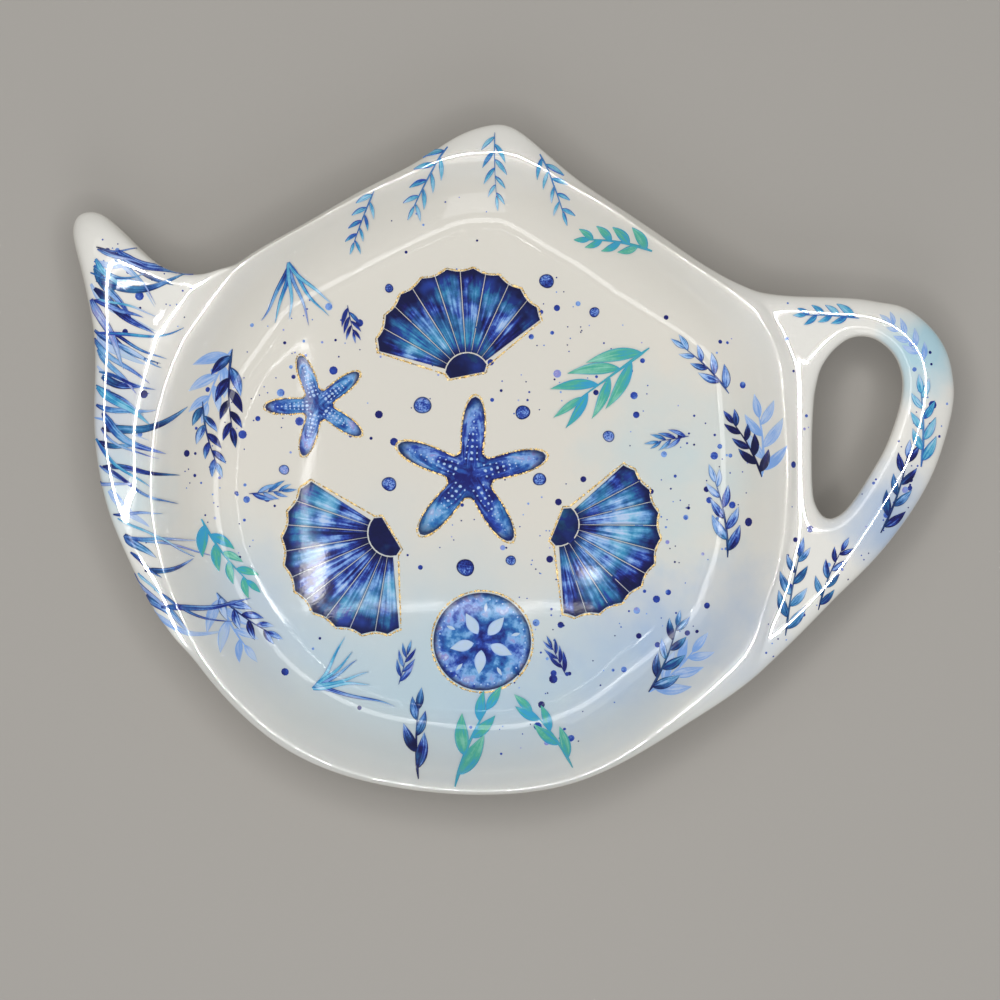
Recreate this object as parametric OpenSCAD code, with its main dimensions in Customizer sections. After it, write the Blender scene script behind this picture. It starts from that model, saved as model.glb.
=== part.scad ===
// Tea bag rest in the outline of a teapot: one piece of fired, glazed ceramic.
// It is drawn here as the forms that it is modelled from, with its standing ring and fired decoration.
// X runs from the spout to the handle, Y runs from the base to the lid, Z points up from the table.

/* [Dish] */
// Width of the well from ridge to ridge, spout side to handle side
dish_w = 86; // [78:1:96]
// Depth of the well from ridge to ridge, base to lid
dish_d = 86; // [78:1:96]
// Height of the rim's ridge above the table
rim_h = 11.8; // [10.5:0.1:14]
// Thickness of the floor and the wall
wall_t = 3.2; // [2.6:0.1:3.8]
// Width of the curved wall, from the ridge in to the flat floor
wall_run = 10; // [8:0.5:12]
// Thickness of the rim at its outer edge
edge_t = 3; // [2.4:0.1:3.6]
// Rounding of the outer edges
edge_r = 0.9; // [0.5:0.1:1.1]

/* [Spout] */
// Length of the spout from the foot of the rim to its tip, along its slant
spout_l = 20.5; // [17:0.5:24]
// Thickness of the spout
spout_t = 3.2; // [2.6:0.1:4]

/* [Handle] */
// Width of the finger hole
hole_w = 12.3; // [10:0.1:14]
// Length of the finger hole
hole_l = 24.8; // [21:0.1:28]
// Width of the wall between the rim's ridge and the finger hole
root_w = 3.8; // [3.4:0.1:5]
// Width of the handle bar round the finger hole
bar_w = 7.2; // [6:0.1:9]
// Thickness of the handle bar
bar_t = 3.6; // [3:0.1:4.2]
// Depth of the flats on the spout and the handle below the ridge
land_drop = 1.2; // [0.9:0.1:1.8]

/* [Standing ring] */
// Height of the unglazed standing ring
foot_h = 1.4; // [1:0.1:2]
// Outer diameter of the standing ring
foot_d = 58; // [50:1:62]
// Width of the standing ring where it meets the dish
foot_w = 3; // [2.4:0.1:4]
// Width of the flat that touches the table
foot_flat_w = 1.8; // [1.2:0.1:2.2]

/* [Decoration] */
// Thickness of the fired ink
print_t = 0.08; // [0.05:0.01:0.15]
// Thickness of the fired gold
gold_t = 0.12; // [0.08:0.01:0.2]
// Width of a gold line
gold_w = 0.5; // [0.3:0.1:0.8]
// Radius of a scallop shell
shell_r = 12; // [9:0.5:13]
// Radius of a starfish, to the tips of its arms
star_r = 11; // [8:0.5:12]
// Radius of a sand dollar
dollar_r = 7.5; // [6:0.5:8]
// Length of a frond
frond_l = 17; // [12:0.5:18]
// Width of a frond's leaf
leaf_w = 1.9; // [1.4:0.1:2.2]
// Radius of the largest bubble
bubble_r = 2; // [1.4:0.1:2.2]

/* [Hidden] */

// The outline tables are shares: steps on a square grid of 1000 laid over the piece from above,
// x to the right and y down. The grid's middle of the dish, and its steps across the dish:
middle_shares = [469, 474];
across_share = 632;
// The piece lies this many degrees clockwise of upright on that grid
turn = 3.9;

// Rows across the spout, from the lid side round the tip to the base side:
// ridge of the rim, foot of the rim, outer line of the flat, edge
spout_rows_shares = [
    [[239, 269], [233, 265.2], [232, 264.6], [231, 264]],
    [[224, 289], [206, 284], [202, 280], [207, 272.3]],
    [[212, 306], [190.5, 291], [188, 287.5], [185, 273.4]],
    [[203, 319], [184, 301], [172, 285], [160, 266]],
    [[195, 330], [178, 311], [152, 281], [138, 247.5]],
    [[189, 339], [172, 321], [133, 277], [112, 222]],
    [[184, 348], [167, 330], [120, 274], [92, 208.5]],
    [[179.5, 357], [162, 340], [112, 276], [72.5, 211]],
    [[175, 369], [157, 350], [108.5, 290], [66.5, 230]],
    [[169.5, 384], [150.5, 366], [107.5, 312], [74.5, 261.5]],
    [[164, 402], [145.5, 385], [107.5, 338], [83.5, 298]],
    [[158.5, 426], [141, 411], [105.5, 370], [90.5, 335]],
    [[155, 455], [137.5, 440], [103.5, 403], [91.3, 375]],
    [[153.3, 485], [138.5, 470], [104.5, 435], [90.5, 415]],
    [[154.5, 512], [142, 503], [109.5, 474], [93.5, 458.5]],
    [[158.5, 541], [148, 536], [121, 519], [104.5, 509]],
    [[165, 570], [156, 567], [139, 554], [121.5, 550.5]],
    [[174.5, 597], [170, 596], [160, 586], [143.5, 595.5]],
    [[186, 624], [183, 625], [175, 625], [163, 625.5]],
    [[200, 650], [190, 656.8], [189.6, 657.2], [188.9, 657.8]]
];
// Grid steps from the foot of the rim to the spout's tip
spout_l_share = 151;

// Rows across the rim along the base, from the spout round to the handle: ridge, edge
base_rows_shares = [
    [[232, 694], [226, 701]],
    [[280, 736], [276, 745]],
    [[340, 767.5], [337, 774.5]],
    [[412, 784], [411, 790.5]],
    [[490, 789.5], [489, 795.5]],
    [[560, 781], [563, 787]],
    [[617, 757], [624, 762.5]],
    [[672, 716], [686, 725]],
    [[715, 679], [730, 697]],
    [[745.5, 647.5], [759, 675]]
];

// Rows across the rim beside the finger hole, from the base to the lid: ridge, join with the handle
side_rows_shares = [
    [[760, 613], [767, 609]],
    [[771, 583], [781, 572]],
    [[779.5, 547], [789, 541]],
    [[783.5, 510], [790, 506]],
    [[784.5, 470], [790, 470]],
    [[783, 430], [789.5, 422]],
    [[780, 392], [787, 387]],
    [[775.5, 356], [784, 360]],
    [[768, 336], [775, 338]],
    [[759, 321], [766, 322]]
];

// Rows across the rim over the roof and the lid, from the handle round to the spout: ridge, edge
roof_rows_shares = [
    [[749, 310.5], [757, 290.5]],
    [[724, 290], [729, 279]],
    [[690, 266.5], [695, 259]],
    [[650, 240], [655, 231]],
    [[609, 211], [614, 204]],
    [[570, 189.5], [577, 179]],
    [[535, 169.5], [541, 148]],
    [[513, 160.5], [517, 128]],
    [[494, 158], [494, 121.6]],
    [[455, 160], [456, 134]],
    [[417, 173], [417, 161]],
    [[360, 198], [358, 191]],
    [[308, 226], [305, 222.5]],
    [[265, 250], [262, 246]]
];

// Rows across the handle beside the dish, from the lid to the base: hole, inner and outer line of the flat
root_rows_shares = [
    [[821, 370], [801, 354], [770, 310.5]],
    [[818.5, 379], [798, 355.5], [776, 322]],
    [[816.5, 388], [798, 358], [784, 341]],
    [[815, 397], [798.5, 364], [792, 360]],
    [[814, 408], [800, 385], [796, 384]],
    [[813, 426], [800, 412], [796, 412]],
    [[812.4, 445], [800, 440], [796, 440]],
    [[812.4, 465], [800, 468], [796, 470]],
    [[812.8, 484], [801, 495], [797, 500]],
    [[814.5, 500], [805, 522], [800, 532]],
    [[821.5, 514], [813, 538], [783, 592]],
    [[829, 517.8], [824, 539.5], [762, 645]]
];
// Rows across the handle's free bar, from the base round to the lid: hole, inner and outer line, edge
bar_rows_shares = [
    [[834, 517], [832, 537.5], [790, 624], [800, 635]],
    [[840, 514], [843, 532], [822, 593.5], [838, 596]],
    [[850, 504.5], [858, 519], [850, 559], [871, 564.5]],
    [[862.6, 485.7], [878, 495.5], [878, 516], [899.5, 530.5]],
    [[874, 466.6], [892, 477], [896, 486], [923, 495.5]],
    [[884, 449], [902, 456], [910, 460], [938.5, 463.5]],
    [[893, 426.5], [909.5, 430], [920.5, 430], [950.5, 425]],
    [[899.9, 403.5], [914, 404], [927, 402], [955.5, 397.5]],
    [[902.4, 382.5], [914.5, 380], [928.5, 377], [954, 374]],
    [[899, 365], [911.5, 360], [924.5, 358], [948, 350]],
    [[891.5, 351.5], [902.5, 345.5], [913, 339], [933, 327]],
    [[880, 341.5], [888, 334], [894, 323.5], [907.5, 306.5]],
    [[870, 337], [873, 327], [876, 317], [882, 301.5]],
    [[858, 336], [859, 324.5], [859, 313.5], [861, 298]],
    [[845, 340.5], [843, 326], [840, 312.5], [838, 296.5]],
    [[833, 351], [826, 336], [812, 310.6], [808, 295.6]],
    [[825.5, 361], [811, 348], [790, 309], [782, 294.3]]
];
// The finger hole's middle on the grid, its steps across and along, and the bar's steps across
hole_shares = [857.4, 427];
hole_w_share = 90;
hole_l_share = 182;
bar_w_share = 53;

// Points worked out between two rows of a table
fine = 2;
// Fall of the rim outside its ridge, and of the flats' rolled edges, for each step outwards
rim_slope_share = 0.4;
roll_slope_share = 0.28;
// Stations across the curved wall, as shares of its width, on top and underneath
wall_top_shares = [1, 0.75, 0.5, 0.28, 0.12, 0];
wall_under_shares = [0.1, 0.4, 0.7, 1];
// Stations across a rolled edge
roll_shares = [0.45, 0.8];
// Distance over which the foot of the rim runs out into the flat of the spout
land_ease = 3;
// Gap between the printed ink and the gold line round it
gold_gap = 0.06;

floor_z = foot_h + wall_t;
well_h = rim_h - floor_z;
land_z = rim_h - land_drop;
spout_under_z = land_z - spout_t;
bar_under_z = land_z - bar_t;

// A point on the curve through b and c, t of the way along
function between(a, b, c, d, t) =
    (2 * b + (c - a) * t + (2 * a - 5 * b + 4 * c - d) * t * t + (3 * b - a - 3 * c + d) * t * t * t) / 2;
// A closed curve through points, and an open one that leaves out its last point
function loop(p) = [for (i = [0:len(p) - 1], k = [0:fine - 1])
    between(p[(i + len(p) - 1) % len(p)], p[i], p[(i + 1) % len(p)], p[(i + 2) % len(p)], k / fine)];
function run(p) = [for (i = [0:len(p) - 2], k = [0:fine - 1])
    between(p[max(i - 1, 0)], p[i], p[i + 1], p[min(i + 2, len(p) - 1)], k / fine)];
function column(rows, k) = [for (row = rows) row[k]];
function backwards(p) = [for (i = [len(p) - 1:-1:0]) p[i]];

// A step on the grid, turned to y up
function up(p) = [p.x, -p.y];
function unit(v) = v / norm(v);
function at(p, z) = [p.x, p.y, z];
function times(u, v) = [u.x * v.x - u.y * v.y, u.x * v.y + u.y * v.x];
// The place that lies to A and B as p lies to a and b on the grid
function carry(p, a, b, A, B) =
    A + times(times(B - A, [up(b - a).x, -up(b - a).y]), up(p - a)) / ((b - a) * (b - a));

// The rim, all round: its ridge and its edge, or the line where the spout or the handle begins
rim_rows_shares = concat(spout_rows_shares, base_rows_shares, side_rows_shares, roof_rows_shares);
spout_n = len(spout_rows_shares);
side_from = spout_n + len(base_rows_shares) - 1;
side_to = side_from + len(side_rows_shares) + 1;
rim_n = len(rim_rows_shares);
edge_rows_shares = concat(column(rim_rows_shares, 1), [rim_rows_shares[0][1]]);
function part(p, from, to) = [for (i = [from:to]) p[i]];
ridge_fine_shares = loop(column(rim_rows_shares, 0));
edge_fine_shares = concat(
    run(part(edge_rows_shares, 0, spout_n - 1)),
    run(part(edge_rows_shares, spout_n - 1, side_from)),
    run(part(edge_rows_shares, side_from, side_to)),
    run(part(edge_rows_shares, side_to, rim_n)));
function on_dish(p) = [up(p - middle_shares).x * dish_w, up(p - middle_shares).y * dish_d] / across_share;
ridge = [for (p = ridge_fine_shares) on_dish(p)];
edge = [for (p = edge_fine_shares) on_dish(p)];
n = len(ridge);
spout_end = fine * (spout_n - 1);
bar_start = fine * side_from;
bar_end = fine * side_to;
function joins_spout(i) = i <= spout_end;
function joins_handle(i) = i >= bar_start && i <= bar_end;
function edge_top(i) = rim_h - rim_slope_share * norm(edge[i] - ridge[i]);
function edge_under(i) =
    joins_spout(i) ? spout_under_z : joins_handle(i) ? bar_under_z : edge_top(i) - edge_t;
function inset(i) = joins_spout(i) || joins_handle(i) ? 0 : min(edge_r, norm(edge[i] - ridge[i]) / 2);

// The wall's height t of the way in from the ridge, and the height of its underside there
function wall_z(t) = floor_z + well_h * (1 - t) * (1 - t);
function wall_slope(t) = 2 * well_h * (1 - t) / wall_run;
function under_z(t) = max(foot_h, wall_z(t) - wall_t * sqrt(1 + wall_slope(t) * wall_slope(t)));

function inward(i, t) = ridge[i] - unit(ridge[i]) * wall_run * t;
function rounded(i) = edge[i] - unit(edge[i] - ridge[i]) * inset(i);
dish_rings = concat(
    [for (t = wall_top_shares) [for (i = [0:n - 1]) at(inward(i, t), wall_z(t))]],
    [[for (i = [0:n - 1]) at(rounded(i), edge_top(i))],
     [for (i = [0:n - 1]) at(edge[i], edge_top(i) - edge_r)],
     [for (i = [0:n - 1]) at(edge[i], edge_under(i) + edge_r)],
     [for (i = [0:n - 1]) at(rounded(i), edge_under(i))]],
    [for (t = wall_under_shares) [for (i = [0:n - 1]) at(inward(i, t), t == 1 ? foot_h : under_z(t))]]);

// Spout: each row runs from the foot of the rim over the flat to the edge and back underneath
spout_fine_shares = [for (k = [1:3])
    concat(run(column(spout_rows_shares, k)), [spout_rows_shares[spout_n - 1][k]])];
function on_spout(i, k) =
    edge[i] + up(spout_fine_shares[k][i] - spout_fine_shares[0][i]) * spout_l / spout_l_share;
function flat_z(i) =
    edge_top(i) + (land_z - edge_top(i)) * min(1, norm(on_spout(i, 1) - edge[i]) / land_ease);
function lip_z(i, a, b, z) = z - roll_slope_share * norm(b - a);
function spout_row(i) =
    let (a = on_spout(i, 1), b = on_spout(i, 2), z = flat_z(i), lip = lip_z(i, a, b, z),
         r = min(edge_r, norm(b - a) / 4), out = unit(b - a))
    concat(
        [at(edge[i], edge_top(i)), at(a, z)],
        [for (t = roll_shares) at(a + (b - a) * t, z + (lip - z) * t * t)],
        [at(b, lip - r), at(b, lip - edge_t + r), at(b - out * r, lip - edge_t)],
        [at(a, min(spout_under_z, lip - edge_t + land_drop)), at(edge[i], spout_under_z)]);
spout_rings = [for (i = [0:spout_end]) spout_row(i)];

// Handle: each row runs from the finger hole over the flat to the edge or the dish, and back underneath
handle_rows_shares = concat(root_rows_shares, bar_rows_shares);
handle_fine_shares = [for (k = [0:2]) loop(column(handle_rows_shares, k))];
root_n = fine * (len(root_rows_shares) - 1);
bar_edge_shares = run(concat([edge_rows_shares[side_from]], column(bar_rows_shares, 3),
    [edge_rows_shares[side_to]]));
handle_edge_shares = concat([for (h = [0:root_n - 1]) edge_fine_shares[bar_end - h]], bar_edge_shares);
handle_n = len(handle_edge_shares);
hole_middle = [dish_w / 2 + root_w + hole_w / 2, on_dish(hole_shares).y];
function on_hole(h) =
    let (p = up(handle_fine_shares[0][h] - hole_shares))
    hole_middle + [p.x * hole_w / hole_w_share, p.y * hole_l / hole_l_share];
function is_root(h) = h <= root_n;
function on_edge(h) = is_root(h) ? edge[bar_end - h] :
    on_hole(h) + up(handle_edge_shares[h] - handle_fine_shares[0][h]) * bar_w / bar_w_share;
function on_bar(h, k) = carry(handle_fine_shares[k][h], handle_fine_shares[0][h], handle_edge_shares[h],
    on_hole(h), on_edge(h));
function handle_row(h) =
    let (a = on_hole(h), b = on_bar(h, 1), c = on_bar(h, 2), d = on_edge(h), i = bar_end - h,
         r = min(edge_r, norm(d - c) / 3), out = unit(d - c), lip = lip_z(h, c, d, land_z),
         top = is_root(h) ? edge_top(i) : lip,
         under = is_root(h) ? edge_under(i) : lip - edge_t,
         inset = is_root(h) ? 0 : r)
    [at(a, bar_under_z + edge_r), at(a, land_z - edge_r), at(b, land_z), at(c, land_z),
     at(d - out * inset, top), at(d, top - edge_r), at(d, under + edge_r), at(d - out * inset, under),
     at(b, bar_under_z)];
handle_rings = [for (h = [0:handle_n - 1]) handle_row(h)];

// Places of the decoration on the flat floor, as shares of its radius, each with a share of its full size
// and the way that it points, in degrees
shell_places_shares = [[-0.055, 0.635, 0.72, 11], [-0.53, -0.365, 0.75, 121], [0.565, -0.29, 0.7, -112]];
star_places_shares = [[0, 0, 0.98, -4], [-0.64, 0.29, 0.66, 20]];
dollar_places_shares = [[0.05, -0.7, 0.9, 30]];
frond_places_shares = [[0.75, 0.53, 0.98, 126], [-0.515, 0.71, 0.32, 192], [-0.927, -0.081, 0.38, -85],
    [-0.3, -0.88, 0.36, -16], [0.4, -0.84, 0.36, 26], [0.916, 0.161, 0.36, 100]];
bubble_places_shares = [[0.22, 0.26, 0.5, 0], [-0.2, 0.29, 0.6, 0], [-0.34, -0.04, 0.5, 0],
    [-0.02, -0.39, 0.6, 0], [0.29, -0.02, 0.45, 0], [0.32, 0.81, 0.5, 0], [-0.78, 0.02, 0.35, 0],
    [0.17, -0.36, 0.35, 0], [0.58, 0.16, 0.4, 0], [0.52, 0.68, 0.35, 0], [-0.34, 0.78, 0.3, 0]];
floor_r = min(dish_w, dish_d) / 2 - wall_run;
lobes = 9;
arms = 5;
leaves = 4;
// Half the angle over which a shell fans out from its hinge
fan = 64;
// The shell's hinge lies this far from its middle, and its fan is this long, in its radius
hinge_share = 0.85;
fan_share = 1.72;
// Width of the white lines between a shell's ribs, and radius of the spots on a starfish
rib_gap = 0.3;
spot_r = 0.35;

// The middle of the piece as seen from above, once it is turned upright
function turned(p) = [p.x * cos(turn) - p.y * sin(turn), p.x * sin(turn) + p.y * cos(turn)];
outline = [for (p = concat(edge, [for (i = [0:spout_end]) on_spout(i, 2)],
    [for (h = [0:handle_n - 1]) on_edge(h)])) turned(p)];
xs = [for (p = outline) p.x];
ys = [for (p = outline) p.y];
middle = [max(xs) + min(xs), max(ys) + min(ys), 0] / 2;

module home() {
    translate(-middle) rotate([0, 0, turn]) children();
}

// A skin over rings of points; closed is true where the last ring joins the first
module skin(rings, closed) {
    m = len(rings);
    k = len(rings[0]);
    function id(i, j) = (i % m) * k + j % k;
    sides = [for (i = [0:m - (closed ? 1 : 2)], j = [0:k - 1])
        each [[id(i, j), id(i + 1, j), id(i + 1, j + 1)], [id(i, j), id(i + 1, j + 1), id(i, j + 1)]]];
    ends = closed ? [] : [[for (j = [0:k - 1]) id(0, j)], [for (j = [k - 1:-1:0]) id(m - 1, j)]];
    polyhedron(points = [for (ring = rings) each ring], faces = concat(sides, ends), convexity = 6);
}

module dish() {
    color("ivory") home() skin(backwards(dish_rings), false);
}

module spout() {
    color("ghostwhite") home() skin(spout_rings, false);
}

module handle() {
    color("whitesmoke") home() skin(handle_rings, true);
}

module foot_ring() {
    r = foot_d / 2;
    bevel = (foot_w - foot_flat_w) / 2;
    color("wheat") home() rotate_extrude($fn = 96)
        polygon([[r - foot_w, foot_h], [r - foot_w + bevel, 0], [r - bevel, 0], [r, foot_h]]);
}

// Puts copies of a flat motif where a table says
module each_place(places) {
    for (p = places)
        translate([p[0] * floor_r, p[1] * floor_r]) rotate(p[3]) scale(p[2]) children();
}

// A scallop shell seen from outside, pointing up from its hinge
module shell(r) {
    function fan_r(t) = r * fan_share * (0.88 + 0.12 * cos(t * 90)) * (1 - 0.035 * abs(sin(t * 90 * lobes)));
    steps = 6 * lobes;
    polygon(concat(
        [for (k = [-steps:steps]) let (t = k / steps)
            [fan_r(t) * sin(t * fan), fan_r(t) * cos(t * fan) - r * hinge_share]],
        [[r * 0.34, r * (0.1 - hinge_share)], [r * 0.3, -r * hinge_share], [-r * 0.3, -r * hinge_share],
         [-r * 0.34, r * (0.1 - hinge_share)]]));
}

module ribs(r) {
    translate([0, -r * hinge_share]) for (k = [1:lobes - 1])
        rotate(fan * (1 - 2 * k / lobes))
            polygon([[-rib_gap / 4, r * 0.4], [rib_gap / 4, r * 0.4],
                [rib_gap / 2, r * 1.5], [-rib_gap / 2, r * 1.5]]);
}

module star(r) {
    polygon([for (a = [0:4:356]) let (w = pow(cos(a * arms / 2), 2))
        r * (0.3 + 0.7 * w * w) * [sin(a), cos(a)]]);
}

module spots(r) {
    for (k = [1:arms], s = [0.3, 0.45, 0.6, 0.74])
        rotate(k * 360 / arms) translate([0, r * s]) circle(spot_r * (1.2 - s), $fn = 16);
}

module petals(r) {
    for (k = [1:arms])
        rotate(k * 360 / arms)
            polygon([for (a = [0:20:340]) [r * 0.12 * sin(a), r * (0.44 - 0.26 * cos(a))]]);
}

// A leaf as long as its five widths, from its stalk upwards
module leaf(w) {
    polygon(concat([for (t = [0:0.1:1]) [w / 2 * sin(180 * pow(t, 0.8)), 5 * w * t]],
        [for (t = [0.9:-0.1:0.1]) [-w / 2 * sin(180 * pow(t, 0.8)), 5 * w * t]]));
}

module frond() {
    translate([0, frond_l - 5 * leaf_w]) leaf(leaf_w);
    translate([-leaf_w / 10, 0]) square([leaf_w / 5, frond_l - 4 * leaf_w]);
    for (k = [0:leaves - 1])
        translate([0, (frond_l - 6 * leaf_w) * (k + 0.4) / leaves])
            rotate(k % 2 == 0 ? 38 : -38) leaf(leaf_w * (1 - k / leaves / 4));
}

module ink(z, t) {
    home() translate([0, 0, z]) linear_extrude(t) children();
}

module printed_motifs() {
    color("midnightblue") ink(floor_z, print_t) {
        each_place(shell_places_shares) difference() {
            shell(shell_r);
            ribs(shell_r);
        }
        each_place(star_places_shares) difference() {
            star(star_r);
            spots(star_r);
        }
        each_place(dollar_places_shares) difference() {
            circle(dollar_r, $fn = 64);
            petals(dollar_r);
        }
        each_place(frond_places_shares) frond();
        each_place(bubble_places_shares) circle(bubble_r, $fn = 32);
    }
}

module gold_outlines() {
    inner = gold_gap;
    outer = gold_gap + gold_w;
    color("goldenrod") ink(floor_z, gold_t) {
        each_place(shell_places_shares) difference() {
            shell(shell_r + outer);
            shell(shell_r + inner);
        }
        each_place(star_places_shares) difference() {
            star(star_r + outer);
            star(star_r + inner);
        }
        each_place(dollar_places_shares) difference() {
            circle(dollar_r + outer, $fn = 64);
            circle(dollar_r + inner, $fn = 64);
        }
    }
}

dish();
spout();
handle();
foot_ring();
printed_motifs();
gold_outlines();
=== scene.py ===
import functools
import math
import random

import bmesh
import bpy
import numpy as np
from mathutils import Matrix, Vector
from mathutils.bvhtree import BVHTree
from mathutils.interpolate import poly_3d_calc


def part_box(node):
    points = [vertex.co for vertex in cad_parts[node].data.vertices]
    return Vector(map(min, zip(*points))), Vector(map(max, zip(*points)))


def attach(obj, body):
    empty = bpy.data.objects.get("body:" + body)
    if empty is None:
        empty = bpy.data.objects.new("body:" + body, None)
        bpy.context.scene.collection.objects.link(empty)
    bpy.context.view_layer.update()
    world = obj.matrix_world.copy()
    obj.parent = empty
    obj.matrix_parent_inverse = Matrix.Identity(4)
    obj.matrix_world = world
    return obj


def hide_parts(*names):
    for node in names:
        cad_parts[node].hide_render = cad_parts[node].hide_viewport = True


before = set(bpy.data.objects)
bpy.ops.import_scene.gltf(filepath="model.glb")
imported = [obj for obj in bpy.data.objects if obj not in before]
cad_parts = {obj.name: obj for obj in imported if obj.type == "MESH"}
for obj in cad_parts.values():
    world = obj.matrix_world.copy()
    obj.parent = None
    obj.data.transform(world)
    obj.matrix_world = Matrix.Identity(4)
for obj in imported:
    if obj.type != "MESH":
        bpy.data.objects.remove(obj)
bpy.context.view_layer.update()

MM = 0.001
foot_low, foot_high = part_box("foot_ring")

# Sizes of the ceramic body, in millimetres, as in the model's source
DISH_W = 86.0
DISH_D = 86.0
RIM_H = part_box("dish")[1][2] / MM
FOOT_H = foot_high[2] / MM
FOOT_R = (foot_high[0] - foot_low[0]) / MM / 2
FOOT_W = 3.0
FOOT_FLAT_W = 1.8
WALL_T = 3.2
WALL_RUN = 10.0
EDGE_T = 3.0
EDGE_R = 0.9
SPOUT_L = 20.5
SPOUT_T = 3.2
HOLE_W = 12.3
HOLE_L = 24.8
ROOT_W = 3.8
BAR_W = 7.2
BAR_T = 3.6
LAND_DROP = 1.2
LAND_EASE = 3.0
RIM_SLOPE = 0.4
ROLL_SLOPE = 0.28
FLOOR_Z = FOOT_H + WALL_T
WELL_H = RIM_H - FLOOR_Z
LAND_Z = RIM_H - LAND_DROP

# The outlines are steps on a square grid of 1000 laid over the piece from above, x right and y down,
# on which the piece lies TURN degrees clockwise of upright
MIDDLE = (469, 474)
ACROSS = 632
TURN = 3.9
SPOUT_STEPS = 151
HOLE_MIDDLE = (857.4, 427)
HOLE_W_STEPS = 90
HOLE_L_STEPS = 182
BAR_W_STEPS = 53

# Rows across the spout: ridge of the rim, foot of the rim, outer line of the flat, edge
SPOUT_ROWS = [
    [(239, 269), (233, 265.2), (232, 264.6), (231, 264)],
    [(224, 289), (206, 284), (202, 280), (207, 272.3)],
    [(212, 306), (190.5, 291), (188, 287.5), (185, 273.4)],
    [(203, 319), (184, 301), (172, 285), (160, 266)],
    [(195, 330), (178, 311), (152, 281), (138, 247.5)],
    [(189, 339), (172, 321), (133, 277), (112, 222)],
    [(184, 348), (167, 330), (120, 274), (92, 208.5)],
    [(179.5, 357), (162, 340), (112, 276), (72.5, 211)],
    [(175, 369), (157, 350), (108.5, 290), (66.5, 230)],
    [(169.5, 384), (150.5, 366), (107.5, 312), (74.5, 261.5)],
    [(164, 402), (145.5, 385), (107.5, 338), (83.5, 298)],
    [(158.5, 426), (141, 411), (105.5, 370), (90.5, 335)],
    [(155, 455), (137.5, 440), (103.5, 403), (91.3, 375)],
    [(153.3, 485), (138.5, 470), (104.5, 435), (90.5, 415)],
    [(154.5, 512), (142, 503), (109.5, 474), (93.5, 458.5)],
    [(158.5, 541), (148, 536), (121, 519), (104.5, 509)],
    [(165, 570), (156, 567), (139, 554), (121.5, 550.5)],
    [(174.5, 597), (170, 596), (160, 586), (143.5, 595.5)],
    [(186, 624), (183, 625), (175, 625), (163, 625.5)],
    [(200, 650), (190, 656.8), (189.6, 657.2), (188.9, 657.8)],
]
# Rows across the rim along the base: ridge, edge
BASE_ROWS = [
    [(232, 694), (226, 701)],
    [(280, 736), (276, 745)],
    [(340, 767.5), (337, 774.5)],
    [(412, 784), (411, 790.5)],
    [(490, 789.5), (489, 795.5)],
    [(560, 781), (563, 787)],
    [(617, 757), (624, 762.5)],
    [(672, 716), (686, 725)],
    [(715, 679), (730, 697)],
    [(745.5, 647.5), (759, 675)],
]
# Rows across the rim beside the finger hole: ridge, join with the handle
SIDE_ROWS = [
    [(760, 613), (767, 609)],
    [(771, 583), (781, 572)],
    [(779.5, 547), (789, 541)],
    [(783.5, 510), (790, 506)],
    [(784.5, 470), (790, 470)],
    [(783, 430), (789.5, 422)],
    [(780, 392), (787, 387)],
    [(775.5, 356), (784, 360)],
    [(768, 336), (775, 338)],
    [(759, 321), (766, 322)],
]
# Rows across the rim over the roof and the lid: ridge, edge
ROOF_ROWS = [
    [(749, 310.5), (757, 290.5)],
    [(724, 290), (729, 279)],
    [(690, 266.5), (695, 259)],
    [(650, 240), (655, 231)],
    [(609, 211), (614, 204)],
    [(570, 189.5), (577, 179)],
    [(535, 169.5), (541, 148)],
    [(513, 160.5), (517, 128)],
    [(494, 158), (494, 121.6)],
    [(455, 160), (456, 134)],
    [(417, 173), (417, 161)],
    [(360, 198), (358, 191)],
    [(308, 226), (305, 222.5)],
    [(265, 250), (262, 246)],
]
# Rows across the handle beside the dish: hole, inner and outer line of the flat
ROOT_ROWS = [
    [(821, 370), (801, 354), (770, 310.5)],
    [(818.5, 379), (798, 355.5), (776, 322)],
    [(816.5, 388), (798, 358), (784, 341)],
    [(815, 397), (798.5, 364), (792, 360)],
    [(814, 408), (800, 385), (796, 384)],
    [(813, 426), (800, 412), (796, 412)],
    [(812.4, 445), (800, 440), (796, 440)],
    [(812.4, 465), (800, 468), (796, 470)],
    [(812.8, 484), (801, 495), (797, 500)],
    [(814.5, 500), (805, 522), (800, 532)],
    [(821.5, 514), (813, 538), (783, 592)],
    [(829, 517.8), (824, 539.5), (762, 645)],
]
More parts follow.
